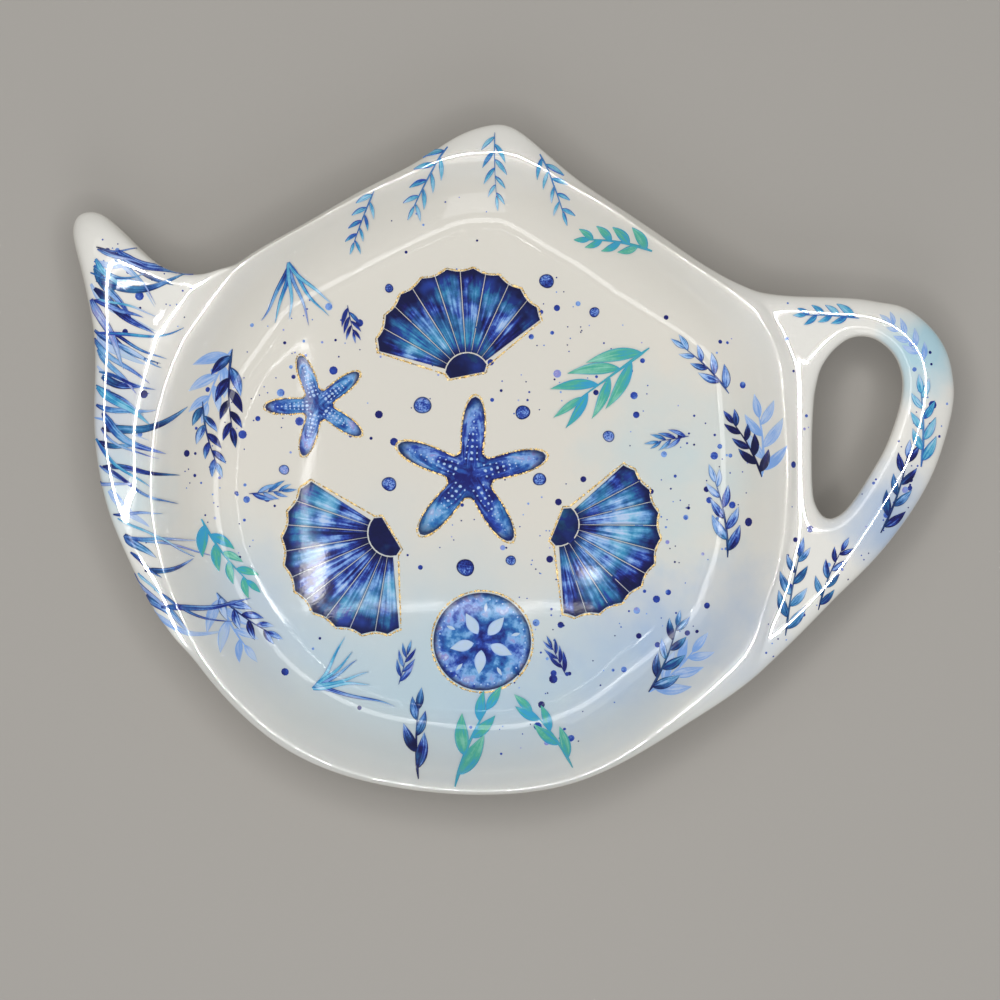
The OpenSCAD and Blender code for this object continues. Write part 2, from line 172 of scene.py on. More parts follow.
# Rows across the handle's free bar: hole, inner and outer line of the flat, edge
BAR_ROWS = [
    [(834, 517), (832, 537.5), (790, 624), (800, 635)],
    [(840, 514), (843, 532), (822, 593.5), (838, 596)],
    [(850, 504.5), (858, 519), (850, 559), (871, 564.5)],
    [(862.6, 485.7), (878, 495.5), (878, 516), (899.5, 530.5)],
    [(874, 466.6), (892, 477), (896, 486), (923, 495.5)],
    [(884, 449), (902, 456), (910, 460), (938.5, 463.5)],
    [(893, 426.5), (909.5, 430), (920.5, 430), (950.5, 425)],
    [(899.9, 403.5), (914, 404), (927, 402), (955.5, 397.5)],
    [(902.4, 382.5), (914.5, 380), (928.5, 377), (954, 374)],
    [(899, 365), (911.5, 360), (924.5, 358), (948, 350)],
    [(891.5, 351.5), (902.5, 345.5), (913, 339), (933, 327)],
    [(880, 341.5), (888, 334), (894, 323.5), (907.5, 306.5)],
    [(870, 337), (873, 327), (876, 317), (882, 301.5)],
    [(858, 336), (859, 324.5), (859, 313.5), (861, 298)],
    [(845, 340.5), (843, 326), (840, 312.5), (838, 296.5)],
    [(833, 351), (826, 336), (812, 310.6), (808, 295.6)],
    [(825.5, 361), (811, 348), (790, 309), (782, 294.3)],
]

# Steps along an outline from one of its rows to the next
STEPS = 2

# Stations across the curved wall as shares of its width, from the flat floor up to the ridge, and underneath
FLOOR_SHARES = (0.25, 0.5, 0.75, 0.9)
WALL_SHARES = (1, 0.86, 0.72, 0.58, 0.44, 0.3, 0.14, 0)
UNDER_SHARES = (0.1, 0.3, 0.5, 0.7, 0.85, 1)
ROLL_SHARES = (0.3, 0.55, 0.8)
# How sharp the lines are that edge the flats of spout and handle, from 0 to 1
LINE_CREASE = 0.25
# Smoothing pulls a cage's outer points in by about this much, so they start further out
PULL = 0.08
# The standing ring runs this far up into the body
FOOT_SUNK = 0.3
FOOT_SIDES = 96


def between(a, b, c, d, t):
    """The place t of the way from b to c on the smooth curve through all four."""
    return (2 * b + (c - a) * t + (2 * a - 5 * b + 4 * c - d) * t * t + (3 * b - a - 3 * c + d) * t ** 3) / 2


def loop(points):
    """A closed curve through the points."""
    p = np.array(points, float)
    m = len(p)
    return np.array([between(p[i - 1], p[i], p[(i + 1) % m], p[(i + 2) % m], k / STEPS)
                     for i in range(m) for k in range(STEPS)])


def run(points):
    """An open curve through the points, without the last of them."""
    p = np.array(points, float)
    m = len(p)
    return np.array([between(p[max(i - 1, 0)], p[i], p[i + 1], p[min(i + 2, m - 1)], k / STEPS)
                     for i in range(m - 1) for k in range(STEPS)])


def column(rows, k):
    return [row[k] for row in rows]


def up(v):
    return np.array([v[0], -v[1]])


def on_dish(p):
    return up(np.subtract(p, MIDDLE)) * (DISH_W, DISH_D) / ACROSS


def unit(v):
    return np.array(v) / np.linalg.norm(v)


def home(x, y, z):
    """A place on the unturned drawing, in millimetres, as a point of the model, in metres."""
    c = math.cos(math.radians(TURN))
    s = math.sin(math.radians(TURN))
    middle_x = (foot_low[0] + foot_high[0]) / 2
    middle_y = (foot_low[1] + foot_high[1]) / 2
    return (middle_x + (x * c - y * s) * MM, middle_y + (x * s + y * c) * MM, z * MM)


def body_curves():
    """The rim's ridge and edge, and the rows across spout and handle, on the drawing in millimetres."""
    rim_rows = SPOUT_ROWS + BASE_ROWS + SIDE_ROWS + ROOF_ROWS
    edge_rows = column(rim_rows, 1) + [rim_rows[0][1]]
    spout_last = len(SPOUT_ROWS) - 1
    side_from = spout_last + len(BASE_ROWS)
    side_to = side_from + len(SIDE_ROWS) + 1
    stretches = [(0, spout_last), (spout_last, side_from), (side_from, side_to), (side_to, len(rim_rows))]
    edge_grid = np.concatenate([run(edge_rows[a:b + 1]) for a, b in stretches])
    ridge = np.array([on_dish(p) for p in loop(column(rim_rows, 0))])
    edge = np.array([on_dish(p) for p in edge_grid])
    spout_end = STEPS * spout_last
    bar_start = STEPS * side_from
    bar_end = STEPS * side_to

    spout_grid = [np.append(run(column(SPOUT_ROWS, k)), [SPOUT_ROWS[-1][k]], axis=0) for k in (1, 2, 3)]
    spout = [[edge[i] + up(line[i] - spout_grid[0][i]) * SPOUT_L / SPOUT_STEPS for line in spout_grid[1:]]
             for i in range(spout_end + 1)]

    hole_grid, inner_grid, outer_grid = [loop(column(ROOT_ROWS + BAR_ROWS, k)) for k in range(3)]
    root_n = bar_end - bar_start
    bar_grid = run([edge_rows[side_from]] + column(BAR_ROWS, 3) + [edge_rows[side_to]])
    edge_line = np.concatenate([[edge_grid[bar_end - h] for h in range(root_n)], bar_grid])
    hole_middle = np.array([DISH_W / 2 + ROOT_W + HOLE_W / 2, on_dish(HOLE_MIDDLE)[1]])
    hole_scale = (HOLE_W / HOLE_W_STEPS, HOLE_L / HOLE_L_STEPS)
    handle = []
    for h, hole_step in enumerate(hole_grid):
        outwards = up(edge_line[h] - hole_step)
        hole = hole_middle + up(hole_step - HOLE_MIDDLE) * hole_scale
        outside = edge[bar_end - h] if h <= root_n else hole + outwards * BAR_W / BAR_W_STEPS
        swing = complex(*(outside - hole)) / complex(*outwards)
        steps = [complex(*up(line[h] - hole_step)) for line in (inner_grid, outer_grid)]
        lines = [complex(*hole) + swing * step for step in steps]
        handle.append([hole] + [np.array([w.real, w.imag]) for w in lines] + [outside])
    return ridge, edge, spout, handle, spout_end, bar_start, bar_end


class Cage:
    """A control cage: points once each, and faces by their numbers."""

    def __init__(self):
        self.points = []
        self.faces = []
        self.creases = {}

    def add(self, p, z):
        self.points.append(home(p[0], p[1], z))
        return len(self.points) - 1

    def strip(self, a, b):
        """Faces between two lines of points; equal points close a face to a triangle."""
        for i in range(len(a) - 1):
            self.quad(a[i], a[i + 1], b[i + 1], b[i])

    def quad(self, *corners):
        face = [c for k, c in enumerate(corners) if c != corners[k - 1]]
        if len(face) > 2:
            self.faces.append(face)

    def crease(self, line):
        for a, b in zip(line, line[1:]):
            self.creases[frozenset((a, b))] = LINE_CREASE

    def mesh(self, name):
        data = bpy.data.meshes.new(name)
        data.from_pydata(self.points, [], self.faces)
        outwards = bmesh.new()
        outwards.from_mesh(data)
        bmesh.ops.recalc_face_normals(outwards, faces=outwards.faces)
        outwards.to_mesh(data)
        outwards.free()
        weights = data.attributes.new("crease_edge", "FLOAT", "EDGE")
        for edge in data.edges:
            weights.data[edge.index].value = self.creases.get(frozenset(edge.vertices), 0)
        return data


def wall_z(t):
    return FLOOR_Z + WELL_H * (1 - t) ** 2


def under_z(t):
    slope = 2 * WELL_H * (1 - t) / WALL_RUN
    return FOOT_H if t == 1 else max(FOOT_H, wall_z(t) - WALL_T * math.hypot(1, slope))


def body_cage():
    """The whole ceramic body as one closed cage, with the glaze running over every join."""
    ridge, edge, spout, handle, spout_end, bar_start, bar_end = body_curves()
    n = len(ridge)
    cage = Cage()
    gap = np.linalg.norm(edge - ridge, axis=1)
    top_z = RIM_H - RIM_SLOPE * gap
    joins = [0 < i < spout_end or bar_start < i < bar_end for i in range(n)]
    low_z = [LAND_Z - SPOUT_T if i <= spout_end else LAND_Z - BAR_T if bar_start <= i <= bar_end
             else top_z[i] - EDGE_T for i in range(n)]
    outward = [unit(edge[i] - ridge[i]) for i in range(n)]
    inset = [edge[i] - outward[i] * (0 if joins[i] else min(EDGE_R, gap[i] / 2)) for i in range(n)]

    def ring(place):
        ids = [cage.add(*place(i)) for i in range(n)]
        return ids + ids[:1]

    def inward(i, t):
        return ridge[i] - unit(ridge[i]) * WALL_RUN * t

    floor = [ring(lambda i: (inward(i, 1) * s, FLOOR_Z)) for s in FLOOR_SHARES]
    wall = [ring(lambda i: (inward(i, t), wall_z(t))) for t in WALL_SHARES]
    # A third of the way out the slope outside the ridge has fallen a little less than a third
    slope = ring(lambda i: (ridge[i] + (edge[i] - ridge[i]) * 0.35, RIM_H - 0.3 * RIM_SLOPE * gap[i]))
    top = ring(lambda i: (inset[i], top_z[i]))
    under = ring(lambda i: (inset[i], low_z[i]))
    shell = [ring(lambda i: (inward(i, t), under_z(t))) for t in UNDER_SHARES]
    base = [ring(lambda i: (inward(i, 1) * s, FOOT_H)) for s in FLOOR_SHARES[::-1]]
    free = {i: edge[i] + outward[i] * PULL for i in range(n) if not joins[i]}
    side_up = {i: cage.add(free[i], top_z[i] - EDGE_R) for i in free}
    side_low = {i: cage.add(free[i], low_z[i] + EDGE_R) for i in free}

    rings = floor + wall + [slope, top]
    cage.faces.append(floor[0][:n])
    for a, b in zip(rings, rings[1:]):
        cage.strip(b, a)
    for i in range(n):
        j = (i + 1) % n
        if i in side_up and j in side_up and not (i < spout_end and j <= spout_end):
            for a, b in ((top, side_up), (side_up, side_low), (side_low, under)):
                cage.quad(a[j], a[i], b[i], b[j])
    rings = [under] + shell + base
    for a, b in zip(rings, rings[1:]):
        cage.strip(b, a)
    cage.faces.append(base[-1][:n][::-1])

    def free_side(place, out, lip, bevel, r):
        """The side of a free edge from its top down, with its last point drawn in by r."""
        far = place + out * PULL
        low = lip - EDGE_T
        return [cage.add(far, lip - bevel), cage.add(far, low + bevel), cage.add(place - out * r, low)]

    def spout_row(i):
        if i in (0, spout_end):
            return [top[i]] * (3 + len(ROLL_SHARES)) + [side_up[i], side_low[i], under[i], under[i]]
        a, b = spout[i]
        ease = min(1, np.linalg.norm(a - edge[i]) / LAND_EASE)
        z = top_z[i] + (LAND_Z - top_z[i]) * ease
        width = np.linalg.norm(b - a)
        lip = z - ROLL_SLOPE * width
        r = min(EDGE_R, width / 4)
        row = [top[i], cage.add(edge[i] + (a - edge[i]) * 0.5, z + (top_z[i] - z) * 0.25), cage.add(a, z)]
        row += [cage.add(a + (b - a) * t, z + (lip - z) * t * t) for t in ROLL_SHARES]
        row += free_side(b, unit(b - a), lip, r, r)
        return row + [cage.add(a, min(LAND_Z - SPOUT_T, lip - EDGE_T + LAND_DROP)), under[i]]

    rows = [spout_row(i) for i in range(spout_end + 1)]
    rows[0].append(under[0])
    rows[-1].append(under[spout_end])
    for a, b in zip(rows, rows[1:]):
        cage.strip(a, b)
    cage.crease(column(rows, 2))

    root_n = bar_end - bar_start

    def handle_row(h):
        a, b, c, d = handle[h]
        row = [cage.add(a, LAND_Z - BAR_T + EDGE_R), cage.add(a, LAND_Z - EDGE_R),
               cage.add(a + (b - a) * 0.4, LAND_Z - 0.3 * EDGE_R), cage.add(b, LAND_Z), cage.add(c, LAND_Z)]
        if h <= root_n:
            i = bar_end - h
            row += [top[i], side_up.get(i, top[i]), side_low.get(i, under[i]), under[i]]
        else:
            width = np.linalg.norm(d - c)
            lip = LAND_Z - ROLL_SLOPE * width
            r = min(EDGE_R, width / 3)
            out = unit(d - c)
            row += [cage.add(d - out * r, lip)] + free_side(d, out, lip, EDGE_R, r)
        return row + [cage.add(b, LAND_Z - BAR_T)]

    rows = [handle_row(h) for h in range(len(handle))]
    closed = rows + rows[:1]
    for h, (a, b) in enumerate(zip(closed, closed[1:])):
        for k in range(len(a)):
            # Along the root these three strips are the rim's own side
            if h < root_n and k in (5, 6, 7):
                continue
            q = (k + 1) % len(a)
            cage.quad(a[q], a[k], b[k], b[q])
    cage.crease(column(closed, 3))
    cage.crease(column(closed, 4))
    return cage


def link(piece):
    bpy.context.scene.collection.objects.link(piece)
    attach(piece, "root")
    return piece


def mark(data, label, vectors):
    """Stores a vector on each point of a mesh."""
    layer = data.attributes.new(label, "FLOAT_VECTOR", "POINT")
    layer.data.foreach_set("vector", np.array(vectors, float).ravel())


def finished(name, data, levels, material):
    """A piece made from a mesh, smoothed by a subdivision surface that is then applied."""
    raw = bpy.data.objects.new(name + "_raw", data)
    bpy.context.scene.collection.objects.link(raw)
    smooth = raw.modifiers.new("smooth", "SUBSURF")
    smooth.levels = levels
    smooth.render_levels = levels
    smooth.use_limit_surface = True
    result = bpy.data.meshes.new_from_object(raw.evaluated_get(bpy.context.evaluated_depsgraph_get()))
    bpy.data.objects.remove(raw)
    result.name = name
    result.materials.clear()
    result.materials.append(material)
    result.shade_smooth()
    return link(bpy.data.objects.new(name, result))


def linear(hex_colour):
    """An sRGB hex colour as Blender's linear colour."""
    parts = [int(hex_colour[k:k + 2], 16) / 255 for k in (1, 3, 5)]
    return tuple(c / 12.92 if c <= 0.04045 else ((c + 0.055) / 1.055) ** 2.4 for c in parts) + (1.0,)


WARM_WHITE = linear("#dad6cc")
# A brighter white for the rim outside the ridge: a painted highlight, for the light the rim catches
RIM_HIGHLIGHT_WHITE = linear("#e6e4dd")
PALE_WASH = linear("#b6cad4")
SKY_WASH = linear("#9fb6d4")
AQUA_WASH = linear("#a9cfdc")
NAVY = linear("#0c1140")
INDIGO = linear("#191c66")
COBALT = linear("#2a48a8")
SKY = linear("#7ea6e2")
PALE_SKY = linear("#b7cbe9")
TURQUOISE = linear("#3a9cc6")
AQUA = linear("#86c6de")
LILAC = linear("#8c86c8")
LEAF_GREEN = linear("#4dac92")
MINT = linear("#93d0bd")
DARK_CLAY = linear("#b7aa95")
BARE_CLAY = linear("#d3cbbb")
DEEP_GOLD = linear("#8a7040")
GOLD = linear("#d8c08c")
TABLE = linear("#a5a19b")

# The washes of each ink, from 0 where it pools to 1 where it is thinnest, with both ends first
INK_STOPS = [(0.0, NAVY), (1.0, PALE_SKY), (0.3, INDIGO), (0.52, COBALT), (0.76, SKY)]
COBALT_STOPS = [(0.0, INDIGO), (1.0, PALE_SKY), (0.35, COBALT), (0.62, SKY), (0.8, LILAC)]
LAGOON_STOPS = [(0.0, COBALT), (1.0, PALE_SKY), (0.35, TURQUOISE), (0.7, AQUA)]
LEAF_STOPS = [(0.0, TURQUOISE), (1.0, MINT), (0.4, LEAF_GREEN)]
PALE_STOPS = [(0.0, PALE_SKY), (1.0, PALE_WASH)]
MIST_STOPS = [(0.0, SKY), (1.0, PALE_WASH), (0.5, PALE_SKY)]

# Soft pools of wash inside the well and outside it: place and radius in millimetres, strength, colour
WELL_POOLS = [(23, -25, 15, 0.75, SKY_WASH), (-31, -20, 14, 0.4, SKY_WASH), (6, -33, 14, 0.3, SKY_WASH),
              (29, 1, 17, 0.4, AQUA_WASH)]
OUTER_POOLS = [(57, -6, 9, 0.8, SKY_WASH), (62, 17, 8, 0.9, AQUA_WASH), (-51, 8, 11, 0.4, SKY_WASH),
               (-47, -3, 8, 0.4, AQUA_WASH), (33, -20, 12, 0.5, SKY_WASH)]


def fill(tree, target, inputs):
    """Sets a node's inputs, each given as a value, or as a socket or a node to link."""
    for name, value in dict(inputs).items():
        source = value.outputs[0] if isinstance(value, bpy.types.Node) else value
        if isinstance(source, bpy.types.NodeSocket):
            tree.links.new(source, target.inputs[name])
        else:
            target.inputs[name].default_value = source


def node(tree, kind, inputs=(), stops=(), **settings):
    """Adds a node, with its settings, its inputs and a ramp's stops."""
    new = tree.nodes.new(kind)
    for name, value in settings.items():
        setattr(new, name, value)
    fill(tree, new, inputs)
    for k, (place, colour) in enumerate(stops):
        ramp = new.color_ramp.elements
        stop = ramp[k] if k < 2 else ramp.new(place)
        stop.position = place
        stop.color = colour
    return new


def finish(name, sockets):
    """A material; sockets(add, place) adds its nodes and says what goes into the shader's inputs."""
    material = bpy.data.materials.new(name)
    material.use_nodes = True
    tree = material.node_tree
    add = functools.partial(node, tree)
    fill(tree, tree.nodes["Principled BSDF"], sockets(add, add("ShaderNodeTexCoord").outputs["Object"]))
    return material


def per_mm(size):
    """The scale of a texture on Object coordinates whose features are this many millimetres."""
    return 1 / (size * MM)


def washed_ground(add, place):
    """The colour of the glazed ground: warm white, a pale wash in the lower half and pools of blue, and a
    painted highlight on the rim outside the ridge: brighter white, with the wash thinned.
    """
    north = add("ShaderNodeSeparateXYZ", {0: place}).outputs[1]
    cloud = add("ShaderNodeTexNoise", {"Vector": place, "Scale": per_mm(13), "Detail": 4.0})
    wander = add("ShaderNodeMath", {0: cloud, 1: 24 * MM, 2: north}, operation="MULTIPLY_ADD")
    low = add("ShaderNodeMapRange", {0: wander, 1: 9 * MM, 2: -25 * MM}, interpolation_type="SMOOTHSTEP")
    out = add("ShaderNodeVectorMath", {0: place, 1: home(0, 0, LAND_Z)}, operation="DISTANCE").outputs[1]
    # Painted highlight: outside the ridge the wash thins to a fifth, for the whiter look the rim has in the
    # light
    inside = add("ShaderNodeMapRange", {0: out, 1: 43 * MM, 2: 33 * MM, 3: 0.2, 4: 1.0})
    low = add("ShaderNodeMath", {0: low, 1: inside}, operation="MULTIPLY")
    # Painted highlight: from the ridge outwards the rim turns to the brighter white
    outer = add("ShaderNodeMapRange", {0: out, 1: 39 * MM, 2: 45 * MM})
    white = add("ShaderNodeMix", {0: outer, 6: WARM_WHITE, 7: RIM_HIGHLIGHT_WHITE}, data_type="RGBA").outputs[2]
    colour = add("ShaderNodeMix", {0: low, 6: white, 7: PALE_WASH}, data_type="RGBA").outputs[2]
    bloom = add("ShaderNodeTexNoise", {"Vector": place, "Scale": per_mm(5), "Detail": 6.0})
    # The pools in the well stop short of the rim, so the painted highlight there stays clear
    well = add("ShaderNodeMapRange", {0: out, 1: 43 * MM, 2: 36 * MM})
    for pool in WELL_POOLS + OUTER_POOLS:
        x, y, radius, strength, wash = pool
        away = add("ShaderNodeVectorMath", {0: place, 1: home(x, y, LAND_Z)}, operation="DISTANCE").outputs[1]
        torn = add("ShaderNodeMath", {0: bloom, 1: -radius * 0.9 * MM, 2: away}, operation="MULTIPLY_ADD")
        much = add("ShaderNodeMapRange", {0: torn, 1: radius * 0.55 * MM, 2: -radius * 0.2 * MM, 4: strength})
        if pool in WELL_POOLS:
            much = add("ShaderNodeMath", {0: much, 1: well}, operation="MULTIPLY")
        colour = add("ShaderNodeMix", {0: much, 6: colour, 7: wash}, data_type="RGBA").outputs[2]
    faces = add("ShaderNodeTexCoord").outputs["Normal"]
    upward = add("ShaderNodeSeparateXYZ", {0: faces}).outputs[2]
    washed = add("ShaderNodeMapRange", {0: upward, 1: 0.1, 2: 0.6})
    return add("ShaderNodeMix", {0: washed, 6: WARM_WHITE, 7: colour}, data_type="RGBA").outputs[2]


def glaze(colour_of):
    """Fired clear glaze over a coloured ground: a hard mirror coat, a little uneven from its melt."""
    def sockets(add, place):
        # The glaze pools in waves about 9 mm long, over a 0.3 mm peel that breaks up thin highlights
        wave = add("ShaderNodeTexNoise", {"Vector": place, "Scale": per_mm(9), "Detail": 1.0})
        peel = add("ShaderNodeTexNoise", {"Vector": place, "Scale": per_mm(0.3), "Detail": 0.0})
        waves = add("ShaderNodeBump", {"Height": wave, "Strength": 1.0, "Distance": 0.022 * MM})
        both = add("ShaderNodeBump",
                   {"Height": peel, "Strength": 1.0, "Distance": 0.0006 * MM, "Normal": waves})
        return {"Base Color": colour_of(add, place), "Normal": both, "Roughness": 0.035, "IOR": 1.5}
    return sockets


def pigment(stops, edge_colour, blot_mm, bleed):
    """Watercolour laid along a shape in brush strokes: pigment streaks, pools in blots and gathers at the
    edges, and turquoise bleeds into it, up to the share bleed.

    The attribute paint holds (along, edge, tint), and stroke holds (across, along, the patch's number)."""
    def colour_of(add, place):
        paint = add("ShaderNodeAttribute", attribute_name="paint").outputs["Vector"]
        stroke = add("ShaderNodeAttribute", attribute_name="stroke").outputs["Vector"]
        along, edge, tint = add("ShaderNodeSeparateXYZ", {0: paint}).outputs
        blot = add("ShaderNodeTexNoise", {"Vector": place, "Scale": per_mm(blot_mm), "Detail": 5.0})
        brush = add("ShaderNodeTexNoise", {"Vector": stroke, "Scale": 1.6, "Detail": 4.0})
        grain = add("ShaderNodeTexNoise", {"Vector": place, "Scale": per_mm(0.3), "Detail": 2.0})
        tone = add("ShaderNodeMath", {0: along, 1: 0.5, 2: tint}, operation="MULTIPLY_ADD")
        for source, much in ((blot, 0.28), (brush, 0.35), (grain, 0.06)):
            part = add("ShaderNodeMapRange", {0: source, 1: 0.3, 2: 0.7, 3: -much, 4: much})
            tone = add("ShaderNodeMath", {0: tone, 1: part})
        colour = add("ShaderNodeValToRGB", {0: tone}, stops=stops).outputs[0]
        if bleed:
            second = add("ShaderNodeValToRGB", {0: tone}, stops=LAGOON_STOPS)
            wet = add("ShaderNodeTexNoise", {"Vector": place, "Scale": per_mm(6), "Detail": 3.0})
            wet = add("ShaderNodeMapRange", {0: wet, 1: 0.46, 2: 0.62, 4: bleed})
            colour = add("ShaderNodeMix", {0: wet, 6: colour, 7: second}, data_type="RGBA").outputs[2]
        rough_edge = add("ShaderNodeMath", {0: brush, 1: 0.7, 2: edge}, operation="MULTIPLY_ADD")
        dark = add("ShaderNodeMapRange", {0: rough_edge, 1: 0.75, 2: 1.25, 4: 0.9})
        return add("ShaderNodeMix", {0: dark, 6: colour, 7: edge_colour}, data_type="RGBA").outputs[2]
    return colour_of


def painted(name, stops, edge_colour, blot_mm, bleed=0.0):
    return finish(name, glaze(pigment(stops, edge_colour, blot_mm, bleed)))


def fired_gold(add, place):
    """Burnished liquid gold, fired on: bright metal flecks, each with its own slight tilt and haze."""
    grain = add("ShaderNodeTexNoise", {"Vector": place, "Scale": per_mm(0.5), "Detail": 3.0})
    return {"Base Color": add("ShaderNodeValToRGB", {0: grain}, stops=[(0.3, DEEP_GOLD), (0.7, GOLD)]),
            "Roughness": add("ShaderNodeMapRange", {0: grain, 1: 0.3, 2: 0.7, 3: 0.18, 4: 0.36}),
            "Metallic": 1.0}


def bare_clay(add, place):
    """Unglazed fired clay: dry, warm and finely grained, a little rubbed where it stands."""
    grain = add("ShaderNodeTexNoise", {"Vector": place, "Scale": per_mm(0.35), "Detail": 5.0})
    patch = add("ShaderNodeTexNoise", {"Vector": place, "Scale": per_mm(6), "Detail": 3.0})
    both = add("ShaderNodeMath", {0: grain, 1: 0.6, 2: patch}, operation="MULTIPLY_ADD")
    return {"Base Color": add("ShaderNodeValToRGB", {0: both}, stops=[(0.55, DARK_CLAY), (1.0, BARE_CLAY)]),
            "Normal": add("ShaderNodeBump", {"Height": grain, "Strength": 1.0, "Distance": 0.02 * MM}),
            "Roughness": 0.85, "IOR": 1.5}


class Ground:
    """The upper side of the body, to lay prints on."""

    # A face is on the upper side if its normal points up by more than this
    LEVEL = 0.35

    def __init__(self, piece):
        data = piece.data
        self.points = [v.co.copy() for v in data.vertices]
        self.normals = [v.normal.copy() for v in data.vertices]
        self.faces = [list(face.vertices) for face in data.polygons if face.normal.z > self.LEVEL]
        self.tree = BVHTree.FromPolygons(self.points, self.faces)

    def under(self, x, y):
        """The place and the normal of the glaze under a point of the drawing, or at the nearest edge, and how
        far aside from the point that edge lies, in millimetres."""
        above = Vector(home(x, y, RIM_H * 2))
        hit, _, k, _ = self.tree.ray_cast(above, Vector((0, 0, -1)))
        if hit is None:
            hit, _, k, _ = self.tree.find_nearest(Vector(home(x, y, LAND_Z - EDGE_R)))
        corners = self.faces[k]
        weights = poly_3d_calc([self.points[c] for c in corners], hit)
        normal = sum((self.normals[c] * w for c, w in zip(corners, weights)), Vector())
        return hit, normal.normalized(), (hit - above).xy.length / MM


class Print:
    """A fired print: thin closed patches laid on the body, each point with its paint (along, edge, tint)."""

    # In millimetres: how high a film lies, what each level and each next patch adds, how deep it is sunk,
    # how far it stays below the rim's height, and how far a patch may hang over an edge
    LIFT = 0.045
    LEVEL = 0.04
    COAT = 0.003
    SINK = 0.05
    CLEAR = 0.003
    OVERHANG = 0.7
    # Patches until their heights start over
    COATS = 12
    # Brush streaks across a patch, and how far apart the streaks of two patches lie in the noise
    STREAKS = 3.0
    APART = 3.7

    def __init__(self, ground, level):
        self.ground = ground
        self.lift = self.LIFT + self.LEVEL * level
        self.coat = 0
        self.points = []
        self.normals = []
        self.paint = []
        self.stroke = []
        self.faces = []
        self.begin = 0
        self.aside = 0

    def add(self, x, y, paint, stroke):
        """A point on top of the film and one under it, at a place of the drawing."""
        hit, normal, aside = self.ground.under(x, y)
        self.aside = max(self.aside, aside)
        lift = min(self.lift + self.coat % self.COATS * self.COAT, RIM_H - hit.z / MM - self.CLEAR)
        self.points += [hit + normal * lift * MM, hit - normal * self.SINK * MM]
        self.normals += [normal, -normal]
        self.paint += [paint, paint]
        self.stroke += [stroke + (self.coat * self.APART,)] * 2
        return len(self.points) - 2

    def close(self, tops, border):
        """Faces over the top, the same below, and a wall along the border; the next patch lies a hair higher.

        A patch that would hang over an edge of the body isn't printed."""
        hangs = self.aside > self.OVERHANG
        self.aside = 0
        if hangs:
            for layer in (self.points, self.normals, self.paint, self.stroke):
                del layer[self.begin:]
            return
        self.coat += 1
        self.begin = len(self.points)
        faces = tops + [[k + 1 for k in reversed(face)] for face in tops]
        faces += [[a + 1, b + 1, b, a] for a, b in zip(border, border[1:])]
        facing = 0
        for face in tops:
            a, b, c = [self.points[k] for k in face[:3]]
            facing += (b - a).cross(c - a).dot(self.normals[face[0]])
        self.faces += faces if facing > 0 else [face[::-1] for face in faces]

    def patch(self, place, across, along):
        """A strip of paint; place(u, v) gives x, y and the paint, with u across and v along."""
        ids = [[self.add(*place(i / across, j / along), (self.STREAKS * i / across, j / along))
                for i in range(across + 1)] for j in range(along + 1)]
        tops = [[a[i], a[i + 1], b[i + 1], b[i]] for a, b in zip(ids, ids[1:]) for i in range(across)]
        there = [row[-1] for row in ids[1:]]
        back = [row[0] for row in ids[-2::-1]]
        self.close(tops, ids[0] + there + ids[-1][-2::-1] + back)

    def disc(self, place, around, rings):
        """A round patch; place(turn, s) gives x, y and the paint, with s from the middle out."""
        def spot(turn, s):
            a = math.tau * turn
            whorl = (self.STREAKS * s * math.cos(a), self.STREAKS * s * math.sin(a))
            return self.add(*place(turn, s), whorl)
        middle = spot(0, 0)
        ids = [[spot(i / around, (j + 1) / rings) for i in range(around)] for j in range(rings)]
        ids = [ring + ring[:1] for ring in ids]
        tops = [[middle, ids[0][i], ids[0][i + 1]] for i in range(around)]
        tops += [[a[i], b[i], b[i + 1], a[i + 1]] for a, b in zip(ids, ids[1:]) for i in range(around)]
        self.close(tops, ids[-1])

    def make(self, name, material):
        """The finished piece; its film shines as the glaze around it does, so it has the glaze's normals."""
        data = bpy.data.meshes.new(name)
        data.from_pydata(self.points, [], self.faces)
        mark(data, "paint", self.paint)
        mark(data, "stroke", self.stroke)
        data.shade_smooth()
        corners = []
        for face in data.polygons:
            for k in face.vertices:
                normal = self.normals[k]
                corners.append(normal if abs(normal.dot(face.normal)) > 0.5 else face.normal)
        data.normals_split_custom_set(corners)
        data.materials.append(material)
        return link(bpy.data.objects.new(name, data))


def turned(place, size, degrees):
    """Puts a motif of the drawing at a place, as large as size, turned by so many degrees."""
    c = math.cos(math.radians(degrees)) * size
    s = math.sin(math.radians(degrees)) * size
    return lambda x, y: (place[0] + x * c - y * s, place[1] + x * s + y * c)


